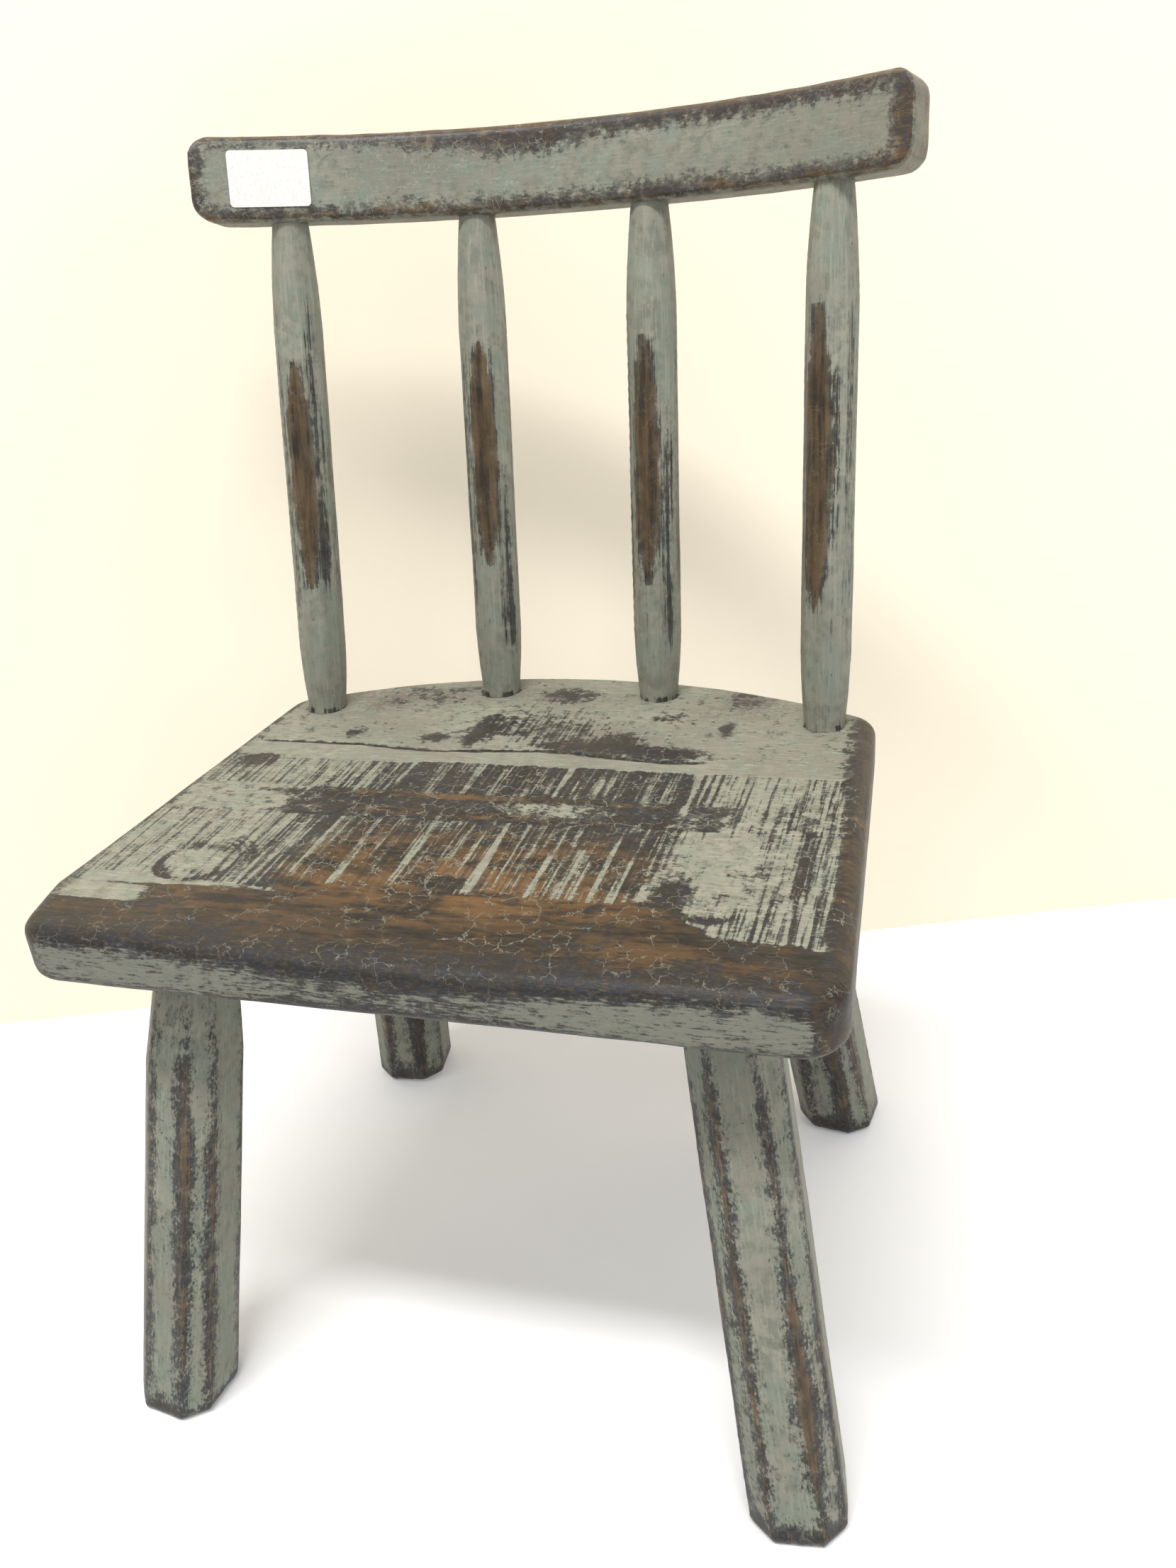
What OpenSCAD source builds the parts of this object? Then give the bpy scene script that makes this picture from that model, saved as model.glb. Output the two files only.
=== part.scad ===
// Small painted wooden chair for a child: a plank seat glued up from three boards, four
// splayed legs tenoned into it, and a low back of four upright spindles under a curved
// crest rail. Millimetres, +Z up, floor at z = 0, sitter facing -Y.

/* [Seat] */
// Width of the seat along its front edge
seat_front_w = 340; // [300:1:420]
// Width of the seat between its back corners
seat_back_w = 312; // [270:1:380]
// Length of the straight sides, front to back
seat_side_l = 241; // [200:1:290]
// How far the back edge bows out behind the back corners
seat_back_bow = 44; // [30:1:70]
// Thickness of the boards
seat_t = 27.5; // [22:0.5:36]
// Height of the seat's top above the floor
seat_h = 265; // [220:1:330]
// How far the front left corner is drawn in from the line of the left side
corner_draw_in = 9.5; // [0:0.5:10]
// Length of the left side over which it is drawn in
corner_draw_l = 38; // [30:1:80]
// Rounding of the corners, seen from above
seat_corner_r = 17; // [8:1:24]
// Rounding of the top and bottom edges
seat_edge_r = 7; // [2:0.5:9]
// Depth of the hollow worn into the front edge
hollow_depth = 3; // [1:0.5:5]
// Width of that hollow
hollow_w = 200; // [120:5:260]
// How far back the hollow reaches
hollow_l = 120; // [60:5:180]

/* [Boards] */
// Distance from the front edge to the first glue line
front_board_w = 112; // [95:1:125]
// Width of the narrow middle board
middle_board_w = 56; // [30:1:70]
// Turn of the glue lines away from square, in degrees
glue_line_turn = 1.6; // [0:0.1:2.5]
// Thickness of a glue line
glue_line = 0.1; // [0.05:0.05:0.3]

/* [Legs] */
// Distance from the seat's side to a leg's axis, at the seat's top
leg_side_inset = 55; // [46:1:66]
// Distance from the front edge to a front leg's axis, at the seat's top
front_leg_inset = 62; // [50:1:75]
// Distance from the line of the back corners to a rear leg's axis, at the seat's top
rear_leg_inset = 16; // [5:1:30]
// Sideways splay of the front legs, in degrees
front_side_splay = 7.7; // [3:0.1:11]
// Sideways splay of the rear legs, in degrees
rear_side_splay = 7.2; // [3:0.1:11]
// Forward splay of the front legs, in degrees
front_splay = 10.8; // [5:0.1:14]
// Backward splay of the rear legs, in degrees
rear_splay = 9.3; // [5:0.1:13]
// Width across the broad flats under the seat
leg_top_w = 38.5; // [35:0.5:46]
// Width across the broad flats at the foot
leg_foot_w = 42; // [36:0.5:52]
// Corner cut that makes the eight sides, at the foot
leg_corner_cut = 10; // [7:0.5:12]
// Turn of a leg's flats outwards, in degrees
leg_turn = 8; // [0:1:20]
// Chamfer around the sole
sole_chamfer = 4; // [1:0.5:6]
// Diameter of the round tenon on a leg
leg_tenon_d = 33; // [26:0.5:36]
// Wood left above the blind tenon of a rear leg
rear_tenon_cover = 6; // [4:0.5:9]

/* [Back] */
// Height of the crest rail's underside above the seat, at the middle
back_h = 231.5; // [180:1:300]
// Rake of the back, in degrees
back_rake = 9.5; // [4:0.5:14]
// Distance from the seat's back edge to the axes of the spindles
spindle_inset = 21.5; // [17:0.5:28]
// Angle of the inner spindles along the seat's back edge
inner_angle = 9; // [7:0.5:11]
// Angle of the outer spindles along the seat's back edge
outer_angle = 28.5; // [24:0.5:29]
// Width across the flats of a spindle's body
spindle_w = 23; // [21:0.5:30]
// Diameter of a spindle where it meets the seat
spindle_foot_d = 20; // [17:0.5:24]
// Diameter of a spindle where it meets the rail
spindle_head_d = 17.5; // [17:0.5:24]
// Share of a spindle's length that tapers above the seat
foot_taper = 0.14; // [0.05:0.01:0.3]
// Share of a spindle's length that tapers under the rail
head_taper = 0.22; // [0.05:0.01:0.3]
// Diameter of the round tenons on a spindle
spindle_tenon_d = 15; // [10:0.5:16]
// Length of a spindle's tenon in the seat
seat_tenon_l = 15; // [10:0.5:18]
// Length of a spindle's tenon in the rail
rail_tenon_l = 16; // [10:0.5:22]

/* [Crest rail] */
// Length of the rail from end to end
rail_l = 335; // [290:1:400]
// Height of the rail
rail_w = 39; // [32:0.5:50]
// Thickness of the rail
rail_t = 25; // [22:0.5:32]
// Radius of the rail's curve, at the middle of its thickness
rail_r = 345; // [280:5:480]
// Rounding of the rail's long edges
rail_edge_r = 4.5; // [2:0.5:8]
// Rounding of the corners, seen from the front
rail_corner_r = 9; // [6:1:16]
// Angle of the sawn ends away from the chair's middle plane
rail_end_angle = 12; // [0:1:20]

/* [Sticker] */
// Width of the paper sticker
sticker_w = 38; // [20:1:60]
// Height of the sticker
sticker_h = 25; // [12:1:30]
// Distance from the rail's end to the sticker
sticker_inset = 19; // [14:1:60]
// Thickness of the paper with its glue
sticker_t = 0.3; // [0.2:0.05:0.5]
// Rounding of the sticker's corners
sticker_r = 2; // [0.5:0.5:4]

/* [Fits] */
// Gap all round a glued tenon
tenon_gap = 0.1; // [0.05:0.05:0.3]
// Gap behind the paper sticker
sticker_gap = 0.05; // [0.02:0.01:0.1]

/* [Hidden] */

$fn = 96;
far = 2000;                       // larger than the chair, for cutting blocks
left = -1;
right = 1;
spindle_angles = [-outer_angle, -inner_angle, inner_angle, outer_angle];
green = [0.50, 0.55, 0.44];
dark_green = [0.36, 0.40, 0.34];
paper = [0.93, 0.92, 0.88];

// The back edge of the seat is an arc through both back corners
back_r = (pow(seat_back_w / 2, 2) + pow(seat_back_bow, 2)) / (2 * seat_back_bow);
back_centre_y = seat_side_l + seat_back_bow - back_r;
spindle_r = back_r - spindle_inset;

// Middle of the rail's underside
rail_y = back_centre_y + spindle_r + back_h * tan(back_rake);
rail_z = seat_h + back_h;

// The front feet and the rail's middle reach furthest forward and back, and the origin
// lies half-way between them
front_foot_y = front_leg_inset - seat_h * tan(front_splay);
foot_reach = max([for (p = octagon(leg_foot_w, leg_corner_cut, leg_turn)) p[1]]);
rail_back_y = rail_y + rail_w * sin(back_rake) + (rail_t / 2 - rail_edge_r) * cos(back_rake)
    + rail_edge_r * (1 - sin(back_rake));
middle_y = (front_foot_y - foot_reach + rail_back_y) / 2;

// ---- Shared shapes ----

// Everything is drawn with the seat's front edge at y = 0 and then centred
module chair_place() {
    translate([0, -middle_y, 0]) children();
}

function turned(p, angle) = [
    p[0] * cos(angle) - p[1] * sin(angle),
    p[0] * sin(angle) + p[1] * cos(angle)
];

// A square of width w with its corners cut off, anticlockwise from the right-hand side
function octagon(w, cut, angle) = [
    for (p = [
        [w / 2, cut - w / 2], [w / 2, w / 2 - cut],
        [w / 2 - cut, w / 2], [cut - w / 2, w / 2],
        [-w / 2, w / 2 - cut], [-w / 2, cut - w / 2],
        [cut - w / 2, -w / 2], [w / 2 - cut, -w / 2]
    ]) turned(p, angle)
];

// A closed solid through a stack of rings, lowest first, each with the same number of points
module loft(rings) {
    n = len(rings[0]);
    top = (len(rings) - 1) * n;
    sides = [
        for (i = [0:len(rings) - 2], j = [0:n - 1])
            [i * n + j, (i + 1) * n + j, (i + 1) * n + (j + 1) % n, i * n + (j + 1) % n]
    ];
    bottom_face = [for (j = [0:n - 1]) j];
    top_face = [for (j = [n - 1:-1:0]) top + j];
    polyhedron([for (ring = rings) each ring], concat([bottom_face], sides, [top_face]));
}

// A rectangle w by h about the origin with rounded corners
module rounded_bar(w, h, r) {
    square([w - 2 * r, h], center = true);
    square([w, h - 2 * r], center = true);
    for (x = [r - w / 2, w / 2 - r], y = [r - h / 2, h / 2 - r])
        translate([x, y]) circle(r);
}

// ---- Seat ----

module seat_outline() {
    left_x = -seat_half_w(corner_draw_l);
    offset(r = seat_corner_r) offset(delta = -seat_corner_r) intersection() {
        polygon([
            [corner_draw_in - seat_front_w / 2, 0], [seat_front_w / 2, 0],
            [seat_back_w / 2, seat_side_l], [seat_back_w / 2, seat_side_l + seat_back_bow],
            [-seat_back_w / 2, seat_side_l + seat_back_bow], [-seat_back_w / 2, seat_side_l],
            [left_x, corner_draw_l]
        ]);
        translate([0, back_centre_y]) circle(back_r, $fn = 180);
    }
}

// The seat before it is hollowed, bored and parted into boards. Its rounded sides are drawn a
// little too tall, and planing them down leaves one flat top and one flat underside.
module seat_blank() {
    planed = 0.2;
    intersection() {
        hull() for (angle = [0:30:90]) {
            inset = seat_edge_r * (1 - cos(angle));
            drop = seat_edge_r * (1 - sin(angle)) - planed;
            translate([0, 0, seat_h - seat_t + drop])
                linear_extrude(seat_t - 2 * drop) offset(delta = -inset) seat_outline($fn = 32);
        }
        translate([-far / 2, -far / 2, seat_h - seat_t]) cube([far, far, seat_t]);
    }
}

// The wide round cutter that wears the front of the seat hollow
module hollow_cut() {
    r = (pow(hollow_w / 2, 2) + pow(hollow_depth, 2)) / (2 * hollow_depth);
    translate([0, 0, seat_h - hollow_depth])
        rotate([atan(hollow_depth / hollow_l), 0, 0])
            translate([0, 0, r]) rotate([90, 0, 0])
                cylinder(r = r, h = far / 2, center = true, $fn = 360);
}

// The strip of the plank between two glue lines, from y = a to y = b
module between_glue_lines(a, b) {
    rotate([0, 0, glue_line_turn])
        translate([-far / 2, a, 0]) cube([far, b - a, far]);
}

module seat_board(a, b) {
    difference() {
        intersection() {
            seat_blank();
            between_glue_lines(a, b);
        }
        hollow_cut();
        for (side = [left, right]) {
            leg_tenon(side, false, tenon_gap);
            leg_tenon(side, true, tenon_gap);
        }
        for (angle = spindle_angles) seat_tenon(angle, tenon_gap);
    }
}

module seat_board_front() {
    color(green) chair_place() seat_board(-far / 2, front_board_w - glue_line / 2);
}

module seat_board_middle() {
    color(green) chair_place()
        seat_board(front_board_w + glue_line / 2, front_board_w + middle_board_w - glue_line / 2);
}

module seat_board_back() {
    color(green) chair_place() seat_board(front_board_w + middle_board_w + glue_line / 2, far / 2);
}

// ---- Legs ----

// Half the seat's width at a distance y from its front edge
function seat_half_w(y) =
    seat_front_w / 2 - (seat_front_w - seat_back_w) / 2 * y / seat_side_l;

function leg_top_y(rear) = rear ? seat_side_l - rear_leg_inset : front_leg_inset;

// A point on a leg's axis at height z
function leg_point(side, rear, z) = [
    side * (seat_half_w(leg_top_y(rear)) - leg_side_inset
        + (seat_h - z) * tan(rear ? rear_side_splay : front_side_splay)),
    leg_top_y(rear) + (seat_h - z) * (rear ? tan(rear_splay) : -tan(front_splay)),
    z
];

// A level slice through a leg at height z, narrowed by inset all round
function leg_ring(side, rear, z, inset) =
    let (
        centre = leg_point(side, rear, z),
        share = (seat_h - seat_t - z) / (seat_h - seat_t),
        w = leg_top_w + (leg_foot_w - leg_top_w) * share,
        cut = leg_corner_cut * w / leg_foot_w
    )
    [for (p = octagon(w - 2 * inset, cut, (rear ? -side : side) * leg_turn))
        [centre[0] + p[0], centre[1] + p[1], z]];

// The round tenon along a leg's axis; a front one passes through the seat, a rear one is blind.
// gap enlarges it into the hole that takes it.
module leg_tenon(side, rear, gap) {
    foot = leg_point(side, rear, 0);
    axis = leg_point(side, rear, seat_h) - foot;
    start = norm(axis) * (seat_h - 1.5 * seat_t) / seat_h;
    end = rear ? norm(axis) * (seat_h - rear_tenon_cover) / seat_h : norm(axis) + leg_tenon_d;
    translate(foot) rotate([0, acos(axis[2] / norm(axis)), atan2(axis[1], axis[0])])
        rotate([0, 0, 90]) translate([0, 0, start])
            cylinder(d = leg_tenon_d + 2 * gap, h = end - start + gap);
}

module leg(side, rear) {
    difference() {
        loft([
            leg_ring(side, rear, 0, sole_chamfer),
            leg_ring(side, rear, sole_chamfer, 0),
            leg_ring(side, rear, seat_h, 0)
        ]);
        translate([-far / 2, -far / 2, seat_h - seat_t]) cube(far);
    }
    difference() {
        leg_tenon(side, rear, 0);
        hollow_cut();
        translate([-far / 2, -far / 2, seat_h]) cube(far);
    }
}

module leg_front_left() { color(green) chair_place() leg(left, false); }
module leg_front_right() { color(green) chair_place() leg(right, false); }
module leg_rear_left() { color(green) chair_place() leg(left, true); }
module leg_rear_right() { color(green) chair_place() leg(right, true); }

// ---- Back ----

function spindle_foot(angle) =
    [spindle_r * sin(angle), back_centre_y + spindle_r * cos(angle), seat_h];

// The point of the rail's underside that lies over a spindle's foot
function spindle_head(angle) =
    let (
        x = spindle_foot(angle)[0],
        forward = rail_r - sqrt(rail_r * rail_r - x * x)
    )
    [x, rail_y - forward * cos(back_rake), rail_z + forward * sin(back_rake)];

function spindle_l(angle) = norm(spindle_head(angle) - spindle_foot(angle));

// Puts children on a spindle's axis, with its foot at the origin and +Z towards the rail
module on_spindle(angle) {
    axis = spindle_head(angle) - spindle_foot(angle);
    translate(spindle_foot(angle)) rotate([-atan2(axis[1], axis[2]), 0, 0]) children();
}

module seat_tenon(angle, gap) {
    on_spindle(angle) translate([0, 0, -seat_tenon_l - gap])
        cylinder(d = spindle_tenon_d + 2 * gap, h = seat_tenon_l + spindle_tenon_d);
}

module rail_tenon(angle, gap) {
    on_spindle(angle) translate([0, 0, spindle_l(angle) - spindle_tenon_d])
        cylinder(d = spindle_tenon_d + 2 * gap, h = rail_tenon_l + spindle_tenon_d + gap);
}

// From 0 at a spindle's ends to 1 along its body, at a share of its length
function fullness(share) =
    let (s = min(1, max(0, share) / foot_taper, max(0, 1 - share) / head_taper))
    s * (2 - s);

// A slice through a spindle at a share of its length: round at the ends, eight-sided between
function spindle_ring(share, length) =
    let (
        s = fullness(share),
        end_d = share < 0.5 ? spindle_foot_d : spindle_head_d
    )
    [for (i = [0:15])
        let (
            body_r = spindle_w / 2 / (i % 2 == 0 ? cos(22.5) : 1),
            r = end_d / 2 * (1 - s) + body_r * s,
            angle = 22.5 * (i + 1)
        )
        [r * cos(angle), r * sin(angle), share * length]];

module spindle(angle) {
    length = spindle_l(angle);
    overrun = spindle_w / 4 / length;
    shares = concat(
        [-overrun],
        [for (i = [0:4]) foot_taper * i / 4],
        [0.5],
        [for (i = [4:-1:0]) 1 - head_taper * i / 4],
        [1 + overrun]
    );
    difference() {
        on_spindle(angle) loft([for (share = shares) spindle_ring(share, length)]);
        translate([-far / 2, -far / 2, seat_h - far]) cube(far);
        in_rail_frame() translate([-far / 2, -far / 2, 0]) cube(far);
    }
    seat_tenon(angle, 0);
    rail_tenon(angle, 0);
}

module spindle_1() { color(dark_green) chair_place() spindle(spindle_angles[0]); }
module spindle_2() { color(dark_green) chair_place() spindle(spindle_angles[1]); }
module spindle_3() { color(dark_green) chair_place() spindle(spindle_angles[2]); }
module spindle_4() { color(dark_green) chair_place() spindle(spindle_angles[3]); }

// ---- Crest rail ----

// The rail's own frame: origin at the middle of its underside, leaning back with the spindles
module in_rail_frame() {
    translate([0, rail_y, rail_z]) rotate([-back_rake, 0, 0]) children();
}

// Everything at the right of this block's far side is cut off the rail: a sawn end with round corners
module sawn_end() {
    front_y = rail_r - sqrt(pow(rail_r - rail_t / 2, 2) - pow(rail_l / 2, 2));
    translate([rail_l / 2, -front_y, rail_w / 2]) rotate([0, 0, -rail_end_angle])
        rotate([90, 0, 0]) linear_extrude(far, center = true)
            translate([-rail_l, 0]) rounded_bar(2 * rail_l, rail_w, rail_corner_r);
}

module rail_bend() {
    translate([0, -rail_r, rail_w / 2]) rotate_extrude($fn = 360)
        translate([rail_r, 0]) rounded_bar(rail_t, rail_w, rail_edge_r);
}

module crest_rail() {
    color(green) chair_place() difference() {
        in_rail_frame() intersection() {
            rail_bend();
            translate([-far / 2, -rail_r, 0]) cube([far, far, far]);
            sawn_end();
            mirror([1, 0, 0]) sawn_end();
        }
        for (angle = spindle_angles) rail_tenon(angle, tenon_gap);
    }
}

// ---- Paper sticker on the left end of the rail's front ----

module paper_sticker() {
    face_r = rail_r - rail_t / 2 - sticker_gap;
    end_angle = asin(rail_l / 2 / face_r);
    middle_angle = end_angle - (sticker_inset + sticker_w / 2) / face_r * 180 / PI;
    color(paper) chair_place() in_rail_frame() translate([0, -rail_r, rail_w / 2])
        rotate([0, 0, middle_angle]) intersection() {
            difference() {
                cylinder(r = face_r, h = sticker_h, center = true, $fn = 360);
                cylinder(r = face_r - sticker_t, h = 2 * sticker_h, center = true, $fn = 360);
            }
            rotate([-90, 0, 0]) linear_extrude(far)
                rounded_bar(sticker_w, sticker_h, sticker_r);
        }
}

seat_board_front();
seat_board_middle();
seat_board_back();
leg_front_left();
leg_front_right();
leg_rear_left();
leg_rear_right();
spindle_1();
spindle_2();
spindle_3();
spindle_4();
crest_rail();
paper_sticker();
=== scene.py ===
import bmesh
import bpy
import math
import numpy as np
from mathutils import Matrix, Vector


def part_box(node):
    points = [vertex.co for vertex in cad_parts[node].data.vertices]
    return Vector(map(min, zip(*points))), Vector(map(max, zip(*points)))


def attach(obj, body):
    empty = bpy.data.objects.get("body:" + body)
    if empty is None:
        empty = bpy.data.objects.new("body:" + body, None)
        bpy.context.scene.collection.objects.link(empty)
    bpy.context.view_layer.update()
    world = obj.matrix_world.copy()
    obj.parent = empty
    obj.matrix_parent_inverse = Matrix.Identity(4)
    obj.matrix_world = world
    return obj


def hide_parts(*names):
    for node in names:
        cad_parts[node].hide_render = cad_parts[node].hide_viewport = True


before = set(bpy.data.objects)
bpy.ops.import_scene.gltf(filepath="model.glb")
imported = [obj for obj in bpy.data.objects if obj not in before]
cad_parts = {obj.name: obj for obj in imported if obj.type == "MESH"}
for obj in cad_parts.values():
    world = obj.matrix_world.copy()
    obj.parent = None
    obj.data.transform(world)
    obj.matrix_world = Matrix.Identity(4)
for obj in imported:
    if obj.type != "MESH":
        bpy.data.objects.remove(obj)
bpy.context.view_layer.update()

mm = 0.001

# small tools for shaping and measuring a piece

def startFresh():
    if bpy.context.object and bpy.context.object.mode != "OBJECT":
        bpy.ops.object.mode_set(mode="OBJECT")
    bpy.ops.object.select_all(action="DESELECT")


def newPiece(name):
    # the primitive just added, with its place and turn moved into its mesh
    piece = bpy.context.object
    piece.name = name
    bpy.ops.object.transform_apply(location=True, rotation=True, scale=True)
    return piece


def makeActive(piece):
    startFresh()
    piece.select_set(True)
    bpy.context.view_layer.objects.active = piece


def editing(piece):
    makeActive(piece)
    bpy.ops.object.mode_set(mode="EDIT")
    bpy.ops.mesh.select_all(action="DESELECT")


def doneEditing():
    bpy.ops.object.mode_set(mode="OBJECT")


def pick(piece, kind, test):
    # selects only the vertices, edges or faces that pass the test
    bpy.ops.mesh.select_mode(type=kind)
    bpy.ops.mesh.select_all(action="DESELECT")
    shape = bmesh.from_edit_mesh(piece.data)
    for item in {"VERT": shape.verts, "EDGE": shape.edges, "FACE": shape.faces}[kind]:
        if test(item):
            item.select_set(True)
    bmesh.update_edit_mesh(piece.data)


def sawOff(piece, spot, outward):
    # everything beyond a plane is cut away and the cut is closed
    bpy.ops.mesh.select_all(action="SELECT")
    bpy.ops.mesh.bisect(plane_co=spot, plane_no=outward, use_fill=True, clear_outer=True)


def pullUp(distance):
    bpy.ops.mesh.extrude_region_move(TRANSFORM_OT_translate={"value": (0, 0, distance)})


def taper(share, height):
    # narrows what is picked, at its own height
    bpy.ops.transform.resize(value=(share, share, 1), center_override=(0, 0, height))


def edgeOff(offset, segments, affect="EDGES"):
    bpy.ops.mesh.bevel(offset=offset, segments=segments, affect=affect)


def finishWith(piece, kind, **values):
    makeActive(piece)
    bpy.ops.object.modifier_add(type=kind)
    modifier = piece.modifiers[-1]
    for key, value in values.items():
        setattr(modifier, key, value)
    bpy.ops.object.modifier_apply(modifier=modifier.name)


def wearRound(piece, shape):
    # one fine even skin all over, with the sharp corners rubbed round
    finishWith(piece, "REMESH", mode="VOXEL", voxel_size=shape["grid"])
    finishWith(piece, "SMOOTH", factor=0.5, iterations=shape["rubs"])
    bpy.ops.object.shade_smooth()


def readRows(piece, what):
    flat = np.empty(len(piece.data.vertices) * 3, np.float32)
    piece.data.vertices.foreach_get(what, flat)
    return flat.reshape(-1, 3).astype(float)


def spots(piece):
    # the vertices as rows of x, y and z in millimetres
    return readRows(piece, "co") / mm


def facing(piece):
    return readRows(piece, "normal")


def moveTo(piece, rows):
    piece.data.vertices.foreach_set("co", (rows * mm).astype(np.float32).ravel())
    piece.data.update()


def pressIn(piece, depth):
    # moves every vertex into the wood by its own depth in millimetres
    placed = spots(piece) - facing(piece) * depth[:, None]
    placed[:, 2] = np.maximum(placed[:, 2], 0)
    moveTo(piece, placed)


def lumps(where, size, seed):
    # soft random hills from -1 to 1, about as wide as size
    grid = np.random.default_rng(seed).uniform(-1, 1, (32, 32, 32))
    p = where / np.array(size, float)
    low = np.floor(p).astype(int)
    t = p - low
    t = t * t * (3 - 2 * t)
    total = np.zeros(len(p))
    for corner in np.ndindex(2, 2, 2):
        i = (low + corner) % 32
        share = np.prod(np.where(np.array(corner) == 1, t, 1 - t), axis=1)
        total += share * grid[i[:, 0], i[:, 1], i[:, 2]]
    return total


def ramp(value, low, high):
    t = np.clip((value - low) / (high - low), 0, 1)
    return t * t * (3 - 2 * t)


def keepPlace(piece, rows):
    # each piece's own straightened coordinates in millimetres, so that the grain follows it
    layer = piece.data.attributes.new("grainPlace", "FLOAT_VECTOR", "POINT")
    layer.data.foreach_set("vector", np.asarray(rows, np.float32).ravel())


def keepFields(piece, **fields):
    # what the paint reads; one number stands for all vertices
    for name, values in fields.items():
        layer = piece.data.attributes.new(name, "FLOAT", "POINT")
        layer.data.foreach_set("value", np.full(len(piece.data.vertices), values, np.float32))


def levelCentre(node, height):
    # the middle of a node's outline at one of its own levels
    near = [v.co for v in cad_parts[node].data.vertices if abs(v.co.z - height) < 0.05 * mm]
    low = Vector(map(min, zip(*near)))
    high = Vector(map(max, zip(*near)))
    return (low + high) / 2


def settle(piece, node, finish):
    # gives a finished piece its paint and lets it stand for the node
    piece.data.materials.clear()
    piece.data.materials.append(finish)
    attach(piece, "root")
    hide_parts(node)


# peeling paint: green over a dark coat over timber

class Nodes:
    # short names for the shader nodes that every finish uses
    def __init__(self, name):
        self.material = bpy.data.materials.new(name)
        self.material.use_nodes = True
        self.tree = self.material.node_tree
        self.tree.nodes.clear()

    def add(self, kind, **values):
        node = self.tree.nodes.new(kind)
        for key, value in values.items():
            setattr(node, key, value)
        return node

    def plug(self, socket, value):
        if isinstance(value, bpy.types.NodeSocket):
            self.tree.links.new(value, socket)
        elif value is not None:
            socket.default_value = value

    def math(self, operation, a, b=None, c=None):
        node = self.add("ShaderNodeMath", operation=operation)
        for socket, value in zip(node.inputs, (a, b, c)):
            self.plug(socket, value)
        return node.outputs[0]

    def times(self, *values):
        total = values[0]
        for value in values[1:]:
            total = self.math("MULTIPLY", total, value)
        return total

    def field(self, name):
        return self.add("ShaderNodeAttribute", attribute_name=name).outputs["Fac"]

    def stretched(self, scale, offset=(0, 0, 0)):
        # the piece's own coordinates in millimetres, drawn out along the grain
        grain = self.add("ShaderNodeAttribute", attribute_name="grainPlace")
        place = self.add("ShaderNodeMapping", vector_type="POINT")
        self.plug(place.inputs["Vector"], grain.outputs["Vector"])
        place.inputs["Scale"].default_value = scale
        place.inputs["Location"].default_value = offset
        return place.outputs[0]

    def noise(self, vector, detail=3.0, rough=0.55, warp=0.0):
        node = self.add("ShaderNodeTexNoise")
        self.plug(node.inputs["Vector"], vector)
        node.inputs["Scale"].default_value = 1
        node.inputs["Detail"].default_value = detail
        node.inputs["Roughness"].default_value = rough
        node.inputs["Distortion"].default_value = warp
        return node.outputs["Fac"]

    def swing(self, noise, amount):
        # a noise round zero, worth so many millimetres
        return self.times(self.math("SUBTRACT", noise, 0.5), amount)

    def sum(self, *values):
        total = values[0]
        for value in values[1:]:
            total = self.math("ADD", total, value)
        return total

    def span(self, value, low, high, start=0.0, end=1.0, soft=True):
        node = self.add("ShaderNodeMapRange")
        node.interpolation_type = "SMOOTHSTEP" if soft else "LINEAR"
        for socket, item in zip(node.inputs, (value, low, high, start, end)):
            self.plug(socket, item)
        return node.outputs[0]

    def mix(self, share, a, b):
        node = self.add("ShaderNodeMix", data_type="RGBA")
        self.plug(node.inputs[0], share)
        self.plug(node.inputs[6], a)
        self.plug(node.inputs[7], b)
        return node.outputs[2]

    def blend(self, share, a, b):
        node = self.add("ShaderNodeMix", data_type="FLOAT")
        self.plug(node.inputs[0], share)
        self.plug(node.inputs[2], a)
        self.plug(node.inputs[3], b)
        return node.outputs[0]

    def relief(self, height, distance, strength=1.0):
        # for what is too fine to model
        bump = self.add("ShaderNodeBump")
        bump.inputs["Distance"].default_value = distance
        bump.inputs["Strength"].default_value = strength
        self.plug(bump.inputs["Height"], height)
        return bump.outputs[0]

    def surface(self, colour, rough, normal):
        shader = self.add("ShaderNodeBsdfPrincipled")
        self.plug(shader.inputs["Base Color"], colour)
        self.plug(shader.inputs["Roughness"], rough)
        self.plug(shader.inputs["Normal"], normal)
        return shader

    def shown(self, shader):
        self.plug(self.add("ShaderNodeOutputMaterial").inputs["Surface"], shader)
        return self.material


def shade(red, green, blue):
    # a colour as a painter reads it from 0 to 255, in the renderer's own scale
    return [((c / 255 + 0.055) / 1.055) ** 2.4 if c > 10 else c / 3295 for c in (red, green, blue)] + [1]


paintBox = {
    "green": (147, 147, 133), "greenPale": (172, 175, 161), "greenDeep": (117, 119, 107), "teal": (124, 140, 127),
    # painted shade: the darker grey-green on the next line is laid over faces that the lamps reach less
    "smudge": (106, 98, 92), "dim": (112, 114, 104),
    "dark": (42, 40, 38), "darkBlue": (40, 42, 48), "darkWarm": (64, 57, 48),
    "wood": (78, 66, 50), "woodWarm": (112, 88, 58), "woodDeep": (46, 41, 35),
    "crackle": (152, 152, 139),
}


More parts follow.
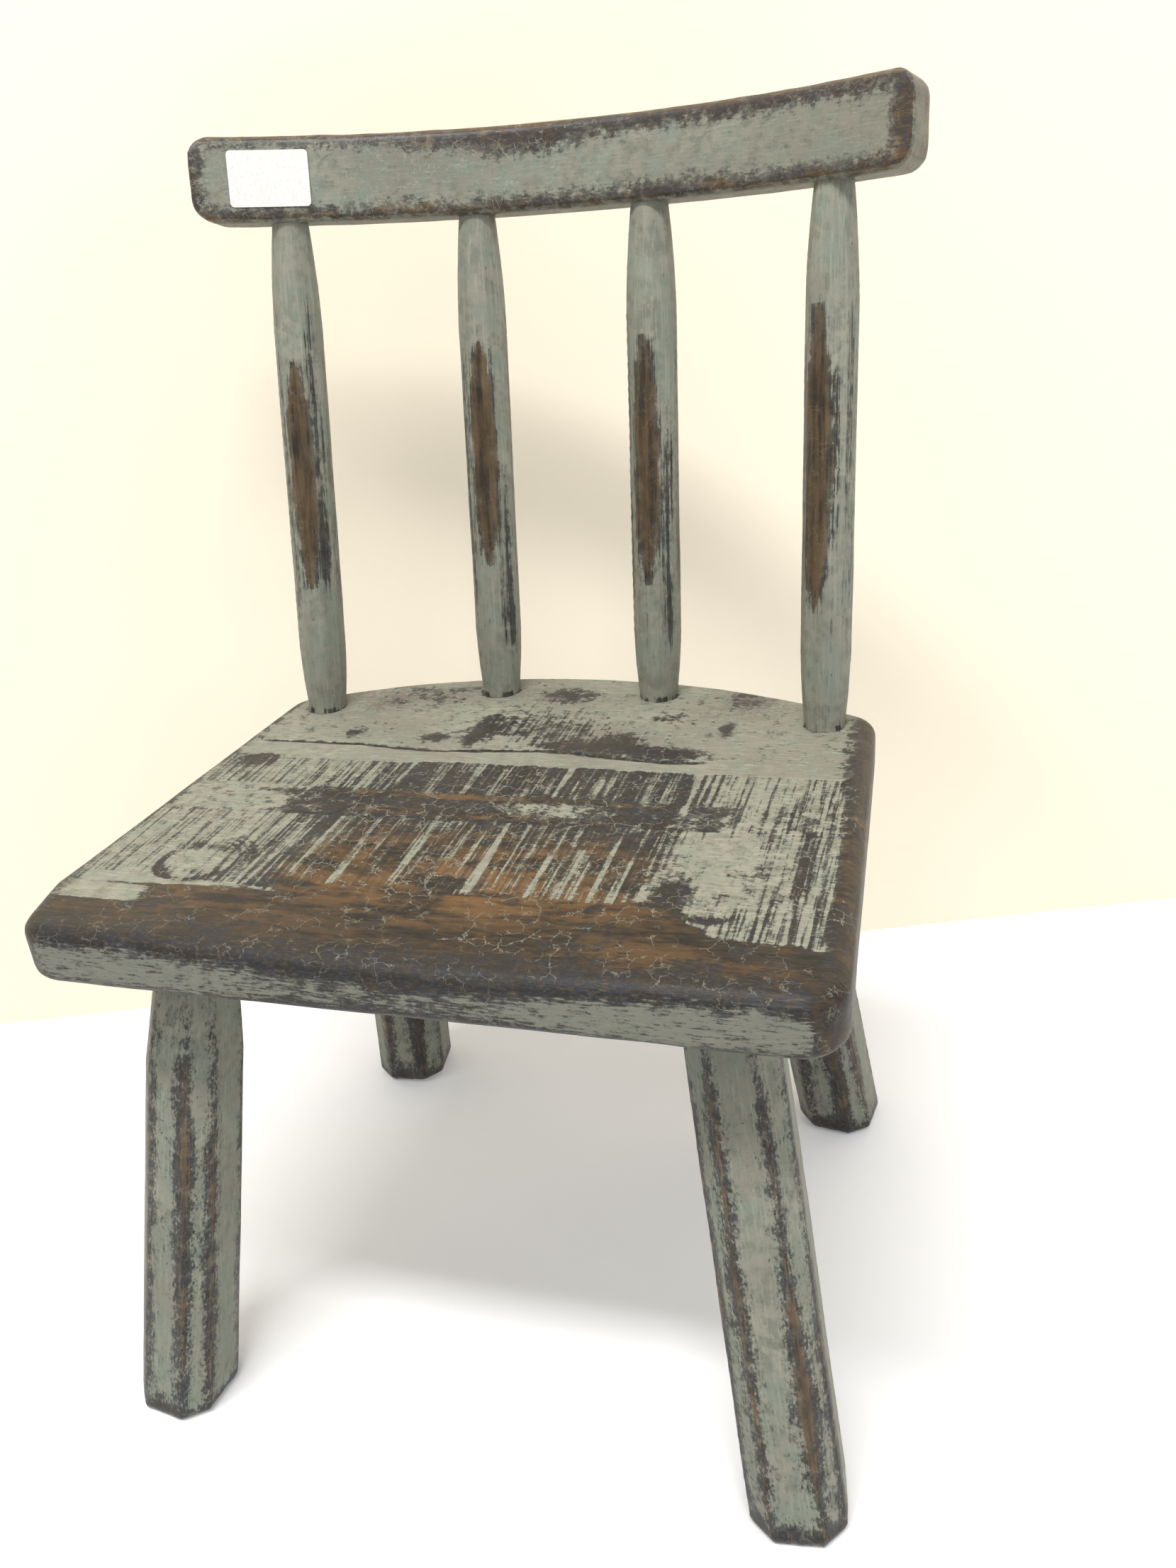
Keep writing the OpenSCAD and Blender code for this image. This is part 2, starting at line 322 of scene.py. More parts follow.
def wornPaint(name, look):
    n = Nodes(name)
    tone = {key: shade(*value) for key, value in {**paintBox, **look.get("colours", {})}.items()}
    shift = look["shift"]

    def grained(along, across, extra=0.0):
        # scales per millimetre, along and across the grain
        return n.stretched([along if look["along"] == i else across for i in range(3)], [s + extra for s in shift])

    def even(scale, extra=0.0):
        return n.stretched([scale] * 3, [s + extra for s in shift])

    clumps = n.noise(even(0.17), 5, 0.62)
    dashes = n.noise(grained(look["dashLength"], 0.95), 4, 0.66)
    crumbs = n.noise(grained(look["crumbLength"], 0.85), 3, 0.6)
    fine = n.noise(even(2.1), 3, 0.65)
    streaks = n.noise(n.stretched(look["streakScale"], shift), 3, 0.62)
    stripe = n.times(n.field("streaky"), n.swing(streaks, 1.0))

    # where the top coat is still on
    left = n.sum(n.field("paintLeft"), n.times(n.field("ragged"), n.swing(clumps, 1.0)),
                 n.times(n.field("dashy"), n.swing(dashes, 1.0)), stripe,
                 n.swing(crumbs, look["crumble"]), n.swing(fine, look["crumble"] * 0.6))
    green = n.span(left, -0.3, 0.4)
    chips = n.noise(grained(0.22, 0.5, 7.3), 4, 0.7)
    limit = n.span(left, 0.5, 7.0, look["chips"], look["chips"] + 0.11)
    chipped = n.span(n.math("SUBTRACT", chips, limit), 0.0, 0.012)
    green = n.times(green, n.math("SUBTRACT", 1.0, chipped))
    thin = n.span(n.sum(left, n.swing(crumbs, 8)), 0.0, 2.4, 0.62, 1.0)

    # where even the under-coat has gone
    bare = n.sum(n.field("woodBare"), n.swing(clumps, look["crumble"]), n.swing(dashes, look["crumble"] * 1.5),
                 n.times(stripe, 0.35), n.swing(fine, 2))
    wood = n.span(bare, -0.6, 0.9)

    figure = n.noise(grained(look["figureLength"], 0.34, 3.1), 6, 0.66, 0.4)
    timber = n.mix(n.span(figure, 0.40, 0.60), tone["woodDeep"], tone["wood"])
    glow = n.noise(grained(0.022, 0.085, 5.7), 4, 0.6)
    shine = n.span(n.sum(glow, n.swing(figure, 0.35), n.swing(clumps, 0.3)), 0.38, 0.62)
    timber = n.mix(n.times(shine, n.field("warmth")), timber, tone["woodWarm"])
    pores = n.noise(grained(0.3, 2.6, 1.3), 3, 0.7)
    timber = n.mix(n.span(pores, 0.54, 0.68, 0, 0.4), timber, tone["dark"])
    sawn = n.span(n.field("streaky"), 8, 30)
    kerf = n.noise(n.stretched(look["streakScale"], [v + 4.9 for v in shift]), 3, 0.6)
    timber = n.mix(n.times(sawn, n.span(kerf, 0.50, 0.58, 0, 0.6)), timber, tone["dark"])
    hue = n.noise(even(0.12, 1.9), 3, 0.6)
    under = n.mix(n.span(hue, 0.42, 0.58), tone["dark"], tone["darkBlue"])
    under = n.mix(n.span(crumbs, 0.46, 0.66), under, tone["darkWarm"])
    under = n.mix(wood, under, timber)

    cover = n.mix(n.span(clumps, 0.38, 0.62), tone["greenDeep"], tone["green"])
    drift = n.noise(even(0.055, 4.4), 3, 0.6)
    cover = n.mix(n.span(drift, 0.45, 0.62, 0, 0.5), cover, tone["teal"])
    cover = n.mix(n.span(dashes, 0.47, 0.66, 0, look["palePart"]), cover, tone["greenPale"])
    dirt = n.span(n.sum(clumps, n.swing(fine, 0.3)), 0.40, 0.60)
    cover = n.mix(n.times(n.field("smudge"), dirt), cover, tone["smudge"])
    cover = n.mix(n.span(fine, 0.50, 0.72, 0, 0.4), cover, tone["greenDeep"])
    # painted shade: the cover is darkened where a piece's field asks for shade
    cover = n.mix(n.field("dim"), cover, tone["dim"])
    paintThere = n.times(green, thin)
    # what a rubbed coat leaves behind
    film = n.span(n.sum(left, n.swing(fine, 5), n.swing(hue, 8)), -4.5, 0.8, 0, look["film"])
    colour = n.mix(n.math("MAXIMUM", paintThere, film), under, cover)

    # hairline crackle, in patches
    wander = n.noise(even(0.45), 2, 0.5).node
    swerve = n.add("ShaderNodeVectorMath", operation="MULTIPLY_ADD")
    n.plug(swerve.inputs[0], wander.outputs["Color"])
    swerve.inputs[1].default_value = [0.55] * 3
    n.plug(swerve.inputs[2], even(look["crackleScale"]))
    cells = n.add("ShaderNodeTexVoronoi", feature="DISTANCE_TO_EDGE")
    n.plug(cells.inputs["Vector"], swerve.outputs[0])
    cells.inputs["Scale"].default_value = 1
    region = n.span(n.sum(n.noise(even(0.06, 11.0), 3, 0.6), n.times(n.field("crazed"), 0.1)), 0.50, 0.60)
    broken = n.span(n.noise(even(0.16, 2.7), 2, 0.5), 0.42, 0.48)
    hair = n.math("SUBTRACT", 1.0, n.span(cells.outputs["Distance"], look["crackleWidth"] * 0.4, look["crackleWidth"]))
    hair = n.times(n.times(hair, n.field("crazed")), n.times(region, broken))
    bright = n.times(hair, n.blend(paintThere, look["crackleShow"], 0.0))
    colour = n.mix(bright, colour, tone["crackle"])
    onPaint = tone["greenPale"] if look.get("paleCracks") else tone["darkWarm"]
    colour = n.mix(n.times(hair, n.blend(paintThere, 0.0, look["crackleShow"] * 0.6)), colour, onPaint)

    bareRough = n.blend(wood, look["darkRough"], look["woodRough"])
    rough = n.sum(n.blend(paintThere, bareRough, look["paintRough"]), n.swing(crumbs, 0.2))
    height = n.sum(n.times(paintThere, 0.14), n.times(hair, 0.06),
                   n.swing(dashes, 0.22), n.swing(fine, 0.08), n.swing(clumps, 0.2))
    worn = n.surface(colour, rough, n.relief(height, mm, look["relief"]))
    worn.inputs["Specular IOR Level"].default_value = 0.3
    return n.shown(worn.outputs[0])


finishes = {
    "seat": {
        "along": 0, "shift": (0, 0, 0), "streakScale": (0.52, 0.018, 0.05),
        "figureLength": 0.06, "dashLength": 0.11, "crumbLength": 0.4, "crumble": 11, "chips": 0.63,
        "film": 0.26, "palePart": 0.5, "crackleScale": 0.14, "crackleWidth": 0.027, "crackleShow": 0.7,
        "relief": 0.8, "darkRough": 0.46, "woodRough": 0.42, "paintRough": 0.62,
        "colours": {"green": (153, 153, 138), "greenPale": (175, 177, 163), "greenDeep": (124, 125, 112),
                    "teal": (136, 146, 132), "wood": (57, 47, 36), "woodWarm": (113, 84, 51), "woodDeep": (30, 27, 24)},
    },
    "leg": {
        "along": 2, "shift": (2.2, 4.1, 0.7), "streakScale": (0.5, 0.5, 0.02),
        "figureLength": 0.025, "dashLength": 0.09, "crumbLength": 0.5, "crumble": 9, "chips": 0.60,
        "film": 0.2, "palePart": 0.3, "crackleScale": 0.16, "crackleWidth": 0.03, "crackleShow": 0.35,
        "relief": 0.7, "darkRough": 0.42, "woodRough": 0.38, "paintRough": 0.6,
    },
    "spindle": {
        "along": 2, "shift": (6.2, 1.1, 2.7), "streakScale": (0.6, 0.6, 0.012),
        "figureLength": 0.025, "dashLength": 0.035, "crumbLength": 0.16, "crumble": 4.5, "chips": 0.62,
        "film": 0.2, "palePart": 0.35, "crackleScale": 0.18, "crackleWidth": 0.03, "crackleShow": 0.3,
        "relief": 0.6, "darkRough": 0.42, "woodRough": 0.36, "paintRough": 0.58,
    },
    "rail": {
        "along": 0, "shift": (3.2, 8.1, 1.7), "streakScale": (0.05, 0.5, 0.5),
        "figureLength": 0.04, "dashLength": 0.12, "crumbLength": 0.5, "crumble": 9, "chips": 0.63,
        "film": 0.42, "palePart": 0.22, "crackleScale": 0.2, "crackleWidth": 0.03, "crackleShow": 0.55,
        "relief": 0.6, "darkRough": 0.36, "woodRough": 0.32, "paintRough": 0.60, "paleCracks": True,
        "colours": {"dark": (62, 58, 55), "darkBlue": (64, 62, 64), "darkWarm": (82, 72, 62), "wood": (88, 74, 57),
                    "woodDeep": (58, 51, 43), "green": (143, 143, 129)},
    },
}
paints = {key: wornPaint(key + "Paint", look) for key, look in finishes.items()}
print("paints mixed")

# the seat: one worn plank, sawn into its three boards last

seat = {
    "backBow": 44 * mm,        # how far the back edge bows out
    "cornerRound": 17 * mm, "edgeRound": 7 * mm,
    "drawnIn": 9.5 * mm, "drawnFrom": 38 * mm,  # front left corner
    "hollow": 3, "hollowWidth": 200, "hollowBack": 120,
    "halfBack": 156 * mm, "glueTurn": 1.6, "glueLines": (112, 168), "glueGap": 0.02 * mm,
    "grid": 1.2 * mm, "rubs": 3, "tenonAcross": 33, "spindleHole": 11,
}
boards = ("seat_board_front", "seat_board_middle", "seat_board_back")
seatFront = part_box("seat_board_front")[0].y
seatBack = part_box("seat_board_back")[1].y
seatTop = max(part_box("seat_board_back")[1].z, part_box("seat_board_front")[1].z)
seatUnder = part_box("seat_board_back")[0].z
seatSide = seatBack - seat["backBow"]
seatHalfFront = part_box("seat_board_front")[1].x
seatHalfBack = seat["halfBack"]
backRadius = (seatHalfBack ** 2 + seat["backBow"] ** 2) / (2 * seat["backBow"])
tenonCentres = {side: levelCentre("leg_front_" + side, seatTop) for side in ("left", "right")}
spindleFeet = [levelCentre(f"spindle_{i}", seatTop) for i in range(1, 5)]


def compass(angle):
    return Vector((math.cos(angle), math.sin(angle), 0))


def roundOff(piece, centre, first, last, radius, steps, mirror=1):
    # shaves a corner down to a round one with a row of flat cuts
    for i in range(1, steps):
        away = compass(first + (last - first) * i / steps)
        spot = centre + away * radius
        flip = Vector((mirror, 1, 1))
        sawOff(piece, spot * flip, away * flip)


def shapeSeat():
    # a round of plank, sawn straight at the front and both sides, with every edge rounded over
    thick = seatTop - seatUnder
    startFresh()
    bpy.ops.mesh.primitive_cylinder_add(vertices=300, radius=backRadius, depth=thick,
                                        location=(0, seatBack - backRadius, (seatTop + seatUnder) / 2))
    plank = newPiece("plank")
    editing(plank)
    sawOff(plank, (0, seatFront, 0), (0, -1, 0))
    lean = math.atan2(seatHalfFront - seatHalfBack, seatSide - seatFront)
    r = seat["cornerRound"]
    middle = Vector((0, seatBack - backRadius, 0))
    for side in (-1, 1):
        corner = Vector((seatHalfFront, seatFront, 0))
        sawOff(plank, corner * Vector((side, 1, 1)), compass(lean) * Vector((side, 1, 1)))
        # back corner: the round touches both the side and the bowed back
        inside = corner - compass(lean) * r
        run = compass(lean + math.pi / 2)
        rel = inside - middle
        t = -rel.dot(run) + math.sqrt(rel.dot(run) ** 2 - rel.length_squared + (backRadius - r) ** 2)
        centre = inside + run * t
        toBack = centre - middle
        roundOff(plank, centre, lean, math.atan2(toBack.y, toBack.x), r, 6, side)
    front = Vector((seatHalfFront - r / math.cos(lean) - r * math.tan(lean), seatFront + r, 0))
    roundOff(plank, front, lean, -math.pi / 2, r, 9)
    # the left front corner is drawn in further
    inner = seatHalfFront - math.tan(lean) * seat["drawnFrom"]
    start = Vector((inner, seatFront + seat["drawnFrom"], 0))
    end = Vector((seatHalfFront - seat["drawnIn"], seatFront, 0))
    drawn = math.atan2(end.x - start.x, start.y - end.y)
    sawOff(plank, start * Vector((-1, 1, 1)), compass(drawn) * Vector((-1, 1, 1)))
    centre = Vector((end.x - r / math.cos(drawn) - r * math.tan(drawn), seatFront + r, 0))
    roundOff(plank, centre, drawn, -math.pi / 2, r, 9, -1)
    pick(plank, "EDGE", lambda e: len(e.link_faces) == 2 and len({abs(f.normal.z) > 0.5 for f in e.link_faces}) == 2)
    edgeOff(seat["edgeRound"], 5)
    doneEditing()
    wearRound(plank, seat)
    p = spots(plank)
    p[:, 2] -= hollowed(p[:, 0], p[:, 1] - seatFront / mm) * ramp(p[:, 2], seatUnder / mm + 8, seatTop / mm - 6)
    moveTo(plank, p)
    return plank


def hollowed(x, y):
    # how far the sitter's hollow goes below the flat top, in millimetres
    radius = ((seat["hollowWidth"] / 2) ** 2 + seat["hollow"] ** 2) / (2 * seat["hollow"])
    tilt = math.atan(seat["hollow"] / seat["hollowBack"])
    rise = radius - np.sqrt(np.maximum(radius ** 2 - x ** 2, 0))
    return np.maximum(seat["hollow"] - y * math.tan(tilt) - rise / math.cos(tilt), 0)


def between(value, low, high, soft):
    return ramp(value, low - soft, low + soft) * ramp(-value, -high - soft, -high + soft)


def layer(base, share, value):
    return base * (1 - share) + value * share


def crackHeight(x):
    return (183.5 + 2.2 * np.sin((x + 20) / 21) * ramp(x, -110, -60) + 1.5 * ramp(-x, 70, 120)
            - 3 * ramp(x, 0, 40) + 2.5 * ramp(x, 62, 90))


wornSpots = (  # x, distance from the front, half sizes and depth of the rubbed places on the back board
    (-84, 247, 24, 16, 3.2), (-2, 255, 16, 10, 7), (-36, 206, 6, 20, 8), (89, 257, 13, 13, 4.5), (87, 219, 4, 9, 8),
    (-57, 196, 8, 6, 7), (-101, 198, 6, 5, 7), (18, 192, 16, 9, 7), (58, 189, 27, 7, 9), (38, 199, 12, 12, 6),
    (-8, 214, 30, 18, 2.6), (-139, 163, 13, 8, 8), (-147, 130, 6, 5, 5), (55, 232, 8, 8, 4), (-62, 262, 9, 5, 4),
)
paleStripes = (  # x, half width, from, to and strength of the bars of paint that the saw marks kept
    (-46.5, 1.5, 53, 112, 7), (-36.5, 0.9, 88, 113, 5), (-21, 1.4, 54, 113, 8), (-14, 4.5, 103, 114, 6),
    (-6.5, 0.7, 80, 113, 6), (3.5, 0.8, 66, 112, 6), (12, 1.5, 55, 113, 8), (22.5, 0.9, 62, 113, 7),
    (29, 0.8, 84, 112, 5), (39, 1.9, 54, 114, 8), (45, 0.9, 92, 114, 6), (50.5, 2.2, 52, 92, 7),
    (56, 1.0, 50, 84, 6), (63.5, 1.1, 50, 104, 7), (72.5, 1.4, 46, 88, 7), (78, 0.9, 50, 76, 6),
    (83, 1.4, 44, 68, 7), (-65, 1.3, 60, 113, 6), (-56, 0.8, 84, 113, 5), (66, 6.5, 111, 114.5, 6),
    (-95, 1.2, 128, 170, 8), (-72, 1.3, 132, 168, 7), (-62, 0.9, 136, 166, 6), (-55, 1.6, 142, 170, 7),
    (-36, 0.9, 135, 171, 8), (-20, 1.5, 135, 166, 7), (-7.5, 0.8, 134, 165, 7), (5, 0.8, 136, 166, 8),
    (13.5, 0.8, 140, 158, 5), (23.5, 1.3, 137, 170, 9), (31, 0.7, 138, 154, 5), (41, 1.8, 136, 158, 7),
    (46, 0.8, 140, 160, 6), (53, 0.8, 138, 156, 5), (64.5, 1.3, 136, 156, 7), (73.5, 1.0, 138, 152, 6),
    (84.5, 1.7, 126, 172, 9), (79, 1.0, 138, 150, 6),
)
darkStripes = (  # the same for the bars that it lost
    (141, 1.5, 62, 120, 9), (144.5, 1.0, 70, 118, 7), (123, 1.1, 98, 116, 7), (157, 1.6, 36, 82, 9),
    (133, 1.2, 44, 70, 6), (131, 1.2, 120, 152, 6), (147, 1.2, 122, 148, 6), (-141, 1.3, 70, 94, 6),
    (-94, 1.6, 80, 112, 6), (-86, 1.4, 76, 112, 6),
)


def seatFields(piece):
    p = spots(piece)
    up = facing(piece)[:, 2]
    x = p[:, 0]
    y = p[:, 1] - seatFront / mm
    halfWide = (seatHalfFront - (seatHalfFront - seatHalfBack) * np.clip(y * mm / (seatSide - seatFront), 0, 1)) / mm
    drawn = seat["drawnIn"] / mm * np.clip(1 - y / (seat["drawnFrom"] / mm), 0, 1)
    fromRight = halfWide - x
    fromLeft = halfWide + x - drawn
    fromBack = backRadius / mm - np.hypot(x, p[:, 1] - (seatBack - backRadius) / mm)

    def oval(cx, cy, rx, ry):
        # one in the middle of an oval, nothing outside it
        return np.exp(-(((x - cx) / rx) ** 2 + ((y - cy) / ry) ** 2) ** 1.5)

    soft = lumps(p, 14, 3)
    small = lumps(p, 5, 4)
    joint = seat["glueLines"][0] + x * math.tan(math.radians(seat["glueTurn"]))

    # back board: mostly painted, rubbed through in spots
    left = 4.6 + 1.6 * soft
    ragged, dashy, streaky = np.full(len(x), 26.0), np.full(len(x), 5.0), np.full(len(x), 5.0)
    bare = -5 + 0 * x
    smudge = 0.35 + 0.35 * lumps(p, 26, 5) + 0.5 * oval(-84, 247, 34, 22) + 0.5 * oval(85, 250, 30, 22)
    smudge += 0.3 * oval(0, 250, 30, 16)
    for cx, cy, rx, ry, deep in wornSpots:
        left -= deep * oval(cx, cy, rx, ry) * 1.3
    streaky += 24 * oval(-2, 212, 42, 24)
    left -= 2.2 * oval(-2, 212, 42, 24)
    bare += 5 * oval(18, 192, 14, 9) + 5 * oval(-84, 247, 10, 6)

    # middle board: saw marks, dark in the middle
    edgeOfBand = 168.5 - 2 * ramp(-x, 30, 60) + 1.2 * small
    zone = ramp(-y, -edgeOfBand - 0.8, -edgeOfBand + 0.8)
    centre = 1 - ramp(x, 80, 98) - ramp(-x, 56, 88)
    left = layer(left, zone, 2.3 - 7.6 * centre + 0.8 * soft)
    streaky, ragged, dashy = layer(streaky, zone, 44), layer(ragged, zone, 9), layer(dashy, zone, 4)
    bare = layer(bare, zone, -4.5 + 4.6 * oval(20, 154, 66, 12))
    smudge = layer(smudge, zone, 0.15)
    for cx, cy, rx, ry, deep in wornSpots[11:13]:
        left -= zone * deep * oval(cx, cy, rx, ry) * 1.3

    # the rubbed band along the glue line
    band = ramp(-y, -138.5, -135.0)
    centre = ramp(x, -108, -90) * (1 - ramp(x, 96, 112))
    flecks = 7.5 * oval(27, 125, 28, 8) + 5.5 * oval(88, 121, 9, 8)
    kept = 4.5 - 10 * centre + flecks - 3.0 * ramp(x, 104, 118) - 6 * oval(-100, 131, 28, 2.4)
    left = layer(left, band, kept)
    streaky, ragged = layer(streaky, band, 4 + 34 * ramp(x, 98, 112)), layer(ragged, band, 30)
    grain = 7 * oval(-35, 134, 55, 3.6) + 7.5 * oval(-20, 117, 50, 3.4) + 5 * oval(30, 134, 40, 2.6)
    bare = layer(bare, band, grain - 3)

    # front board: saw marks down to the worn front
    third = ramp(-y, -joint - 1.2, -joint + 1.6)
    centre = ramp(x, -84, -66) * (1 - ramp(x, 76, 90))
    nearLeft = between(-x, 66, 104, 6) * ramp(-y, -86, -72)
    kept = 2.6 - 8.6 * centre + 1.2 * ramp(-x, 98, 108) + 0.9 * soft - 3.5 * nearLeft - 6 * oval(-146, 110, 16, 3.6)
    left = layer(left, third, kept) + third * 4 * oval(112, 98, 18, 14)
    streaky = layer(streaky, third, 46 - 34 * oval(108, 78, 30, 30) - 22 * oval(-112, 60, 26, 22))
    ragged, dashy = layer(ragged, third, 9 + 15 * oval(108, 72, 34, 30)), layer(dashy, third, 4)
    bare = layer(bare, third, -4.5 + 12 * oval(8, 66, 78, 30) + 3.2 * between(x, -66, 84, 10))

    # worn front: no green, dark and brown timber
    line = 53 - 8 * ramp(-x, 56, 68) - 4 * ramp(-x, 90, 130)
    line += 1.6 * small - 19 * ramp(x, 86, 122) - 3 * ramp(x, 138, 156)
    zone = ramp(-y, -line - 0.9, -line + 0.9)
    corner = 19 * ramp(-x, 114, 124) * between(y, 26, 41 - 0.05 * (x + 160), 1.4)
    left = layer(left, zone, -13 + corner + 2.5 * oval(60, 30, 50, 10))
    streaky, ragged, dashy = layer(streaky, zone, 0), layer(ragged, zone, 12), layer(dashy, zone, 8)
    bare = layer(bare, zone, 0.4 + 3.2 * oval(10, 40, 130, 26) - 2.5 * ramp(-y, -16, -6) + 2.2 * soft)
    slant = 0.03 * (x + 110)
    left += 14 * ramp(-x, 56, 66) * between(y, 41.5 + slant, 46.5 - slant, 1.0) * (1 - ramp(-x, 150, 158))

    none = 0 * x
    for at, half, y0, y1, strength in paleStripes:
        start = y0 + 4 * lumps(np.column_stack((x, none + at, none)), 3, 8)
        wide = half * (1 + 0.45 * lumps(np.column_stack((y, none + at, none)), 9, 6))
        bend = 0.5 * lumps(np.column_stack((y, none + at, none + 9)), 15, 7)
        left += strength * ramp(-np.abs(x - at - bend), -wide - 0.8, -wide + 0.5) * between(y, start, y1, 3)
    for at, half, y0, y1, strength in darkStripes:
        left -= strength * ramp(-np.abs(x - at), -half - 0.9, -half + 0.5) * between(y, y0, y1, 6)

    # tenon ends under the paint
    dig = none
    for side, first, last in (("left", 165, 335), ("right", 185, 300)):
        cx, cy = tenonCentres[side].x / mm, (tenonCentres[side].y - seatFront) / mm
        away = np.hypot(x - cx, y - cy)
        ring = away - seat["tenonAcross"] / 2
        angle = np.degrees(np.arctan2(y - cy, x - cx)) % 360
        arc = between(angle, first, last, 16)
        left -= 24 * np.exp(-(ring / 1.6) ** 2) * arc * (0.75 + 0.5 * small)
        left += 3.0 * np.exp(-((away - 9) / 6) ** 2)
        dig = dig + 0.28 * np.exp(-(ring / 0.9) ** 2) * (0.45 + 0.55 * arc)
        if side == "left":
            left -= 6 * oval(cx - 2, cy + 12, 13, 4) + 5.5 * oval(cx - 3, cy - 9, 12, 3)
            for ripple in (1.5, 4.5, 7.5):
                left -= 11 * np.exp(-((ring - ripple) / 0.7) ** 2) * between(angle, 8, 70, 14)
        else:
            left -= 9 * oval(cx - 15, cy - 2, 9, 13) + 5 * oval(cx - 11, cy + 4, 6, 5)

    # the open crack, the glue line and the rings round the spindles
    crack = np.abs(y - crackHeight(x))
    within = between(x, -146, 82, 5)
    left -= 13 * ramp(-crack, -1.9 - 0.7 * small, -0.4) * within
    left += 6 * between(y, 169.5, crackHeight(x) - 1.6, 1.0) * (np.abs(x) < 150)
    dig += 0.8 * ramp(-crack, -1.3, -0.2) * within
    seam = np.abs(y - joint)
    left -= 5 * ramp(-seam, -1.1, -0.2) * ramp(small, -0.4, 0.3)
    dig += 0.16 * ramp(-seam, -1.0, -0.1)
    warmth = 0.2 + 0.8 * oval(12, 66, 84, 34) + 0.3 * oval(100, 20, 60, 10) + 0.25 * oval(-90, 34, 40, 10)
    warmth += 0.5 * band * (1 - third)
    crazed = 0.25 + 0.75 * ramp(-y, -174, -164) - 0.45 * ramp(-y, -50, -42)
    crazed += 0.5 * oval(40, 188, 50, 14) + 0.3 * oval(50, 26, 70, 9)

    # the rims: a broad rubbed band on the right, narrow ones elsewhere
    rim = np.minimum(fromRight - (11 - 3.5 * ramp(y, 225, 255)), fromLeft - (6.5 + 1.0 * ramp(-y, -60, -30)))
    rim = np.minimum(rim, fromBack - 2.0) + 0.9 * soft + 0.4 * small
    left = np.minimum(left, rim * 1.4)
    ontoRim = ramp(-rim, -0.5, 1.5)
    bare = layer(bare, ontoRim, -1.6 + 2.0 * soft + 3.2 * ramp(-fromRight, -12, -2))
    streaky = layer(streaky, ontoRim, 0)

    # upright faces
    height = p[:, 2] - seatUnder / mm
    thick = (seatTop - seatUnder) / mm - hollowed(x, y)
    isFront = ramp(-y, -9, -4)
    topEdge = 7.2 + 1.8 * ramp(x, -60, 0) * ramp(-x, -110, -60) + 1.0 * soft
    lowEdge = 4.2 + 0.8 * soft + 1.6 * between(x, -60, 60, 20)
    side = np.minimum(height - lowEdge, thick - height - topEdge)
    side = np.where(isFront > 0.5, np.minimum(side, np.minimum(fromRight - 8.5, fromLeft - 5.5) + small), side)
    middleWorn = between(x, -62, 52, 26)
    sideLeft = np.clip(side * 1.5, -7, 3.6) - isFront * (3.4 * middleWorn) - (1 - isFront) * 0.6
    turned = facing(piece)[:, 0]
    sideLeft -= 5.5 * ramp(turned, 0.25, 0.5) * ramp(-y, -250, -200)
    sideLeft -= 4.5 * between(np.abs(turned), 0.3, 0.94, 0.08) * ramp(-y, -30, -15)
    topness = ramp(up, 0.80, 0.95)
    underness = ramp(-up, 0.75, 0.95)
    sideness = 1 - topness - underness
    left = topness * left + sideness * sideLeft + underness * (1.5 + 2.5 * soft)
    rounded = ramp(-np.abs(np.abs(up) - 0.68), -0.30, -0.10)
    sideBare = -3.4 + 2.6 * rounded * (0.4 + soft) + 4.5 * ramp(turned, 0.2, 0.5)
    bare = topness * bare + sideness * sideBare - 4 * underness
    ragged = topness * ragged + (1 - topness) * 13
    dashy = topness * dashy + sideness * (10 + 18 * isFront) + underness * 14
    streaky = streaky * topness
    crazed = crazed * topness + 0.45 * (1 - topness)
    smudge = smudge * topness + 0.15 * (1 - topness)

    # relief: saw marks across the boards, rubbed dips, and the wear of the edges
    across = np.column_stack((x, y / 16, none))
    marks = 0.5 * (lumps(across, 2.3, 11) + 1) + 0.25 * (lumps(across, 4.6, 12) + 1)
    dig = dig * topness + 0.20 * marks * topness * np.clip(streaky / 20, 0.1, 1)
    dig += 0.06 * (lumps(p, 7, 13) + 1) + 0.16 * (lumps(p, 24, 14) + 1)
    dig += 0.4 * rounded * (0.5 + 0.5 * lumps(p, (20, 20, 9), 15))
    for foot in spindleFeet:
        around = np.hypot(x - foot.x / mm, p[:, 1] - foot.y / mm)
        left -= 7 * ramp(-around, -seat["spindleHole"], 0.6 - seat["spindleHole"]) * topness * ramp(small, -0.7, 0.4)
        dig += 0.35 * ramp(-around, -seat["spindleHole"], 0.8 - seat["spindleHole"]) * topness
    pressIn(piece, dig)
    keepPlace(piece, p)
    # painted shade: the seat's upright faces and underside get a darker green than its top
    keepFields(piece, paintLeft=left, woodBare=bare, streaky=streaky, ragged=ragged, dashy=dashy, warmth=warmth,
               crazed=crazed, smudge=smudge, dim=0.75 * (1 - topness))


plank = shapeSeat()
seatFields(plank)
turn = math.radians(seat["glueTurn"])
glueNormal = Vector((-math.sin(turn), math.cos(turn), 0))
glueSpots = [Vector((0, seatFront + distance * mm / math.cos(turn), 0)) for distance in seat["glueLines"]]
for order, node in enumerate(boards):
    makeActive(plank)
    bpy.ops.object.duplicate()
    board = bpy.context.object
    board.name = node + "_worn"
    editing(board)
    if order < 2:
        sawOff(board, glueSpots[order] - glueNormal * seat["glueGap"], glueNormal)
    if order > 0:
        sawOff(board, glueSpots[order - 1] + glueNormal * seat["glueGap"], -glueNormal)
    doneEditing()
    bpy.ops.object.shade_smooth_by_angle(angle=math.radians(50))
    settle(board, node, paints["seat"])
bpy.data.objects.remove(plank)
print("seat boards made")

# the legs: eight-sided, splayed, rubbed along their corners

